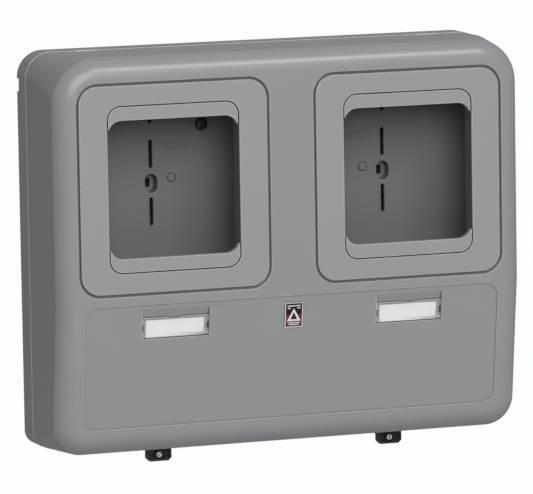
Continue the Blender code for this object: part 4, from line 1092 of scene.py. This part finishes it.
ZINC_STEEL = make_metal("zinc_steel", (0.78, 0.78, 0.77), (0.96, 0.96, 0.95), 0.38, 2600.0)
BRASS = make_metal("brass", (0.50, 0.35, 0.13), (0.78, 0.58, 0.27), 0.30, 1900.0)
for label, side in (("left", -1), ("right", 1)):
    low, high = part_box("lock_bracket_" + label)
    screw_low, screw_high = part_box("lock_screw_" + label)
    x = (screw_low.x + screw_high.x) / 2
    axis_z = (screw_low.z + screw_high.z) / 2
    half = (high.x - low.x) / 2
    front, rear = low.y, high.y
    top, foot = -half_h - 0.0003, low.z
    cut = 0.0032
    outline = [(x + half, top), (x - half, top), (x - half, foot + cut), (x - half + cut, foot),
               (x + half - cut, foot), (x + half, foot + cut)]
    bracket = plate_piece("lock_tab_" + label, outline, front, rear, 0.0004)
    neck_y = (front + rear) / 2
    clip_z = -half_h + wall + 0.0003
    neck = block("neck", (x - 0.008, neck_y - 0.0025, top - 0.001),
                 (x + 0.008, neck_y + 0.0025, clip_z + 0.001))
    clip = block("clip", (x - 0.0092, neck_y - 0.0025, clip_z),
                 (x + 0.0092, neck_y + 0.0025, clip_z + 0.002), 0.0004)
    combine(bracket, "UNION", neck, clip)
    combine(bracket, "DIFFERENCE",
            block("face", (x - half + 0.0028, front - 0.002, foot + 0.0028),
                  (x + half - 0.0028, front + 0.0025, top - 0.0028), 0.0005))
    combine(bracket, "UNION",
            stack("boss", round_rows([(0.0053, front + 0.0032), (0.0053, front + 0.0009),
                                      (0.0050, front + 0.0006)]), centre=(x, 0, axis_z)))
    seat_y = front + 0.0006 + 0.0030
    retainer_low, retainer_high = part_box("screw_retainer_" + label)
    ring_front = retainer_low.y - 0.0003
    combine(bracket, "DIFFERENCE",
            stack("bore", round_rows([(0.0046, front - 0.002), (0.0046, front + 0.0006),
                                      (0.0044, front + 0.0008), (0.0044, seat_y - 0.0005),
                                      (0.0036, seat_y - 0.0005), (0.0036, seat_y),
                                      (0.0023, seat_y), (0.0023, ring_front),
                                      (0.0039, ring_front), (0.0039, rear + 0.002)]),
                  centre=(x, 0, axis_z), steps=8))
    fit(bracket, BLACK_NYLON, "cover", "black_nylon", "lock_bracket_" + label)

    head, tip = screw_low.y, screw_high.y
    screw = stack("lock_screw_fine_" + label, round_rows([
        (0.0026, head), (0.0029, head + 0.0002), (0.0030, head + 0.0005), (0.0030, head + 0.0029),
        (0.0029, head + 0.0030), (0.0020, head + 0.0030)] +
        [(0.0020 - 0.00022 * (i % 2), head + 0.0070 + 0.0004 * i) for i in range(
            int((tip - head - 0.0090) / 0.0004))] +
        [(0.0020, tip - 0.0018), (0.0010, tip)]), centre=(x, 0, axis_z), steps=7)
    slot_cut = block("slot", (-0.006, -0.002, -0.00055), (0.006, 0.0018, 0.00055))
    slot_cut.data.transform(Matrix.Translation((x, head, axis_z))
                            @ Euler((0, lock_slots[label], 0)).to_matrix().to_4x4())
    combine(screw, "DIFFERENCE", slot_cut)
    fit(screw, ZINC_STEEL, "lock_" + label, "zinc_steel", "lock_screw_" + label)

    retainer = stack("retainer_" + label, [(r, r, r, y, 0) for r, y in (
        (0.0023, retainer_low.y + 0.0001), (0.0025, retainer_low.y),
        (0.0035, retainer_low.y), (0.0036, retainer_low.y + 0.0001),
        (0.0036, retainer_high.y - 0.0001), (0.0035, retainer_high.y),
        (0.0025, retainer_high.y), (0.0023, retainer_high.y - 0.0001),
        (0.0023, retainer_low.y + 0.0001))], centre=(x, 0, axis_z), steps=8)
    combine(retainer, "DIFFERENCE",
            block("gap", (x - 0.0009, retainer_low.y - 0.001, axis_z + 0.0022),
                  (x + 0.0009, retainer_high.y + 0.001, axis_z + 0.005)))
    fit(retainer, ZINC_STEEL, "lock_" + label, "zinc_steel", "screw_retainer_" + label)

    insert_low, insert_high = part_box("lock_insert_" + label)
    y0, y1 = insert_low.y, insert_high.y
    sleeve = stack("sleeve_" + label, [(r, r, r, y, 0) for r, y in (
        (0.0026, y0 + 0.0003), (0.0029, y0), (0.0034, y0), (0.0036, y0 + 0.0003),
        (0.0036, y0 + 0.0032), (0.0031, y0 + 0.0036), (0.0031, y0 + 0.0044),
        (0.0036, y0 + 0.0048), (0.0036, y1 - 0.0003), (0.0033, y1), (0.0026, y1),
        (0.0026, y0 + 0.0003))], centre=(x, 0, axis_z), steps=8)
    fit(sleeve, BRASS, "tray", "brass", "lock_insert_" + label)
    tooth = block("tooth", (-0.00022, y0 + 0.0005, 0.0034), (0.00022, y0 + 0.0030, 0.0037),
                  0.00008)
    teeth = 24
    knurl = spread_out("insert_knurl_" + label, tooth, [(x, 0, axis_z)] * teeth,
                       turns=[2 * pi * i / teeth for i in range(teeth)], finish=BRASS)
    fit(knurl, BRASS, "tray", "brass")

# ---- Conduit plugs --------------------------------------------------------------------------
# Two push-in caps of the tray's resin close the conduit holes underneath. Each has a dished
# face, a thin flange and a hollow stem.

for label, side in (("left", -1), ("right", 1)):
    low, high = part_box("conduit_plug_" + label)
    middle = (low + high) / 2
    foot, stem_top = low.z, high.z
    plug = stack("plug_" + label, round_rows([
        (0.0062, 0.0008), (0.0070, 0.0006), (0.0078, 0.0001), (0.0082, 0.0), (0.0105, 0.0),
        (0.0108, 0.0003), (0.0108, 0.0014), (0.0090, 0.0014), (0.0090, stem_top - foot - 0.0006),
        (0.0086, stem_top - foot), (0.0070, stem_top - foot), (0.0070, 0.0024)]), steps=10)
    stand = Matrix.Translation((middle.x, middle.y, foot)) @ Matrix.Rotation(pi / 2, 4, "X")
    plug.data.transform(stand)
    fit(plug, TRAY_GREY, "tray", "tray_grey", "conduit_plug_" + label)

# ---- Floor, lights and camera ---------------------------------------------------------------
# The floor and the background are plain and pale. A soft light above and to the right draws
# the bright line along the cover's top edge, and a wide one in front fills the windows.

floor_z, floor_half = -0.75, 30.0
mesh = bpy.data.meshes.new("studio_floor")
mesh.from_pydata([(-floor_half, -floor_half, floor_z), (floor_half, -floor_half, floor_z),
                  (floor_half, floor_half, floor_z), (-floor_half, floor_half, floor_z)], [],
                 [(0, 1, 2, 3)])
floor = bpy.data.objects.new("studio_floor", mesh)
put_in_scene(floor)


def seen_white(tree, seen, unseen, output):
    """The camera sees plain white, and everything else is lit by the unseen shader."""
    path = node(tree, "ShaderNodeLightPath").outputs["Is Camera Ray"]
    mix = node(tree, "ShaderNodeMixShader", {0: path})
    tree.links.new(unseen, mix.inputs[1])
    tree.links.new(seen, mix.inputs[2])
    tree.links.new(mix.outputs[0], output)


paper = bpy.data.materials.new("studio_paper")
paper.use_nodes = True
tree = paper.node_tree
paint = tree.nodes["Principled BSDF"]
paint.inputs["Base Color"].default_value = (0.55, 0.55, 0.55, 1)
paint.inputs["Roughness"].default_value = 0.95
white = node(tree, "ShaderNodeEmission", {0: (1, 1, 1, 1), 1: 0.985})
seen_white(tree, white.outputs[0], paint.outputs[0],
           tree.nodes["Material Output"].inputs["Surface"])
mesh.materials.append(paper)

world = bpy.data.worlds.new("studio")
bpy.context.scene.world = world
world.use_nodes = True
tree = world.node_tree
sky = tree.nodes["Background"]
sky.inputs["Color"].default_value = (1.0, 1.0, 1.0, 1)
sky.inputs["Strength"].default_value = 0.33
backdrop = node(tree, "ShaderNodeBackground", {0: (1, 1, 1, 1), 1: 0.985})
seen_white(tree, backdrop.outputs[0], sky.outputs[0],
           tree.nodes["World Output"].inputs["Surface"])


def softbox(name, place, target, width, height, glow):
    """A soft light whose face glows evenly with that radiance."""
    data = bpy.data.lights.new(name, "AREA")
    data.shape = "RECTANGLE"
    data.size, data.size_y = width, height
    data.energy = glow * pi * width * height
    lamp = bpy.data.objects.new(name, data)
    put_in_scene(lamp)
    lamp.location = place
    lamp.rotation_euler = (Vector(target) - Vector(place)).to_track_quat("-Z", "Y").to_euler()


softbox("key", (1.75, -3.5, 3.4), (0, 0, 0), 1.3, 1.0, 13.5)
softbox("front", (-0.45, -4.05, 1.8), (0, 0, 0), 3.0, 2.4, 4.95)

camera_data = bpy.data.cameras.new("camera")
camera = bpy.data.objects.new("camera", camera_data)
put_in_scene(camera)
camera_data.sensor_width = 36.0
camera_data.lens = 361.35
camera_data.clip_end = 50.0
right = Vector((0.93874587, -0.34422141, -0.01636505))
upward = Vector((0.0587901, 0.11317585, 0.99183414))
backward = Vector((-0.33955842, -0.9320423, 0.12648017))
turn = Matrix((right, upward, backward)).transposed().to_4x4()
camera.matrix_world = Matrix.Translation((-1.84784, -5.11640, 0.68005)) @ turn
bpy.context.scene.camera = camera
bpy.context.scene.view_settings.view_transform = "Standard"
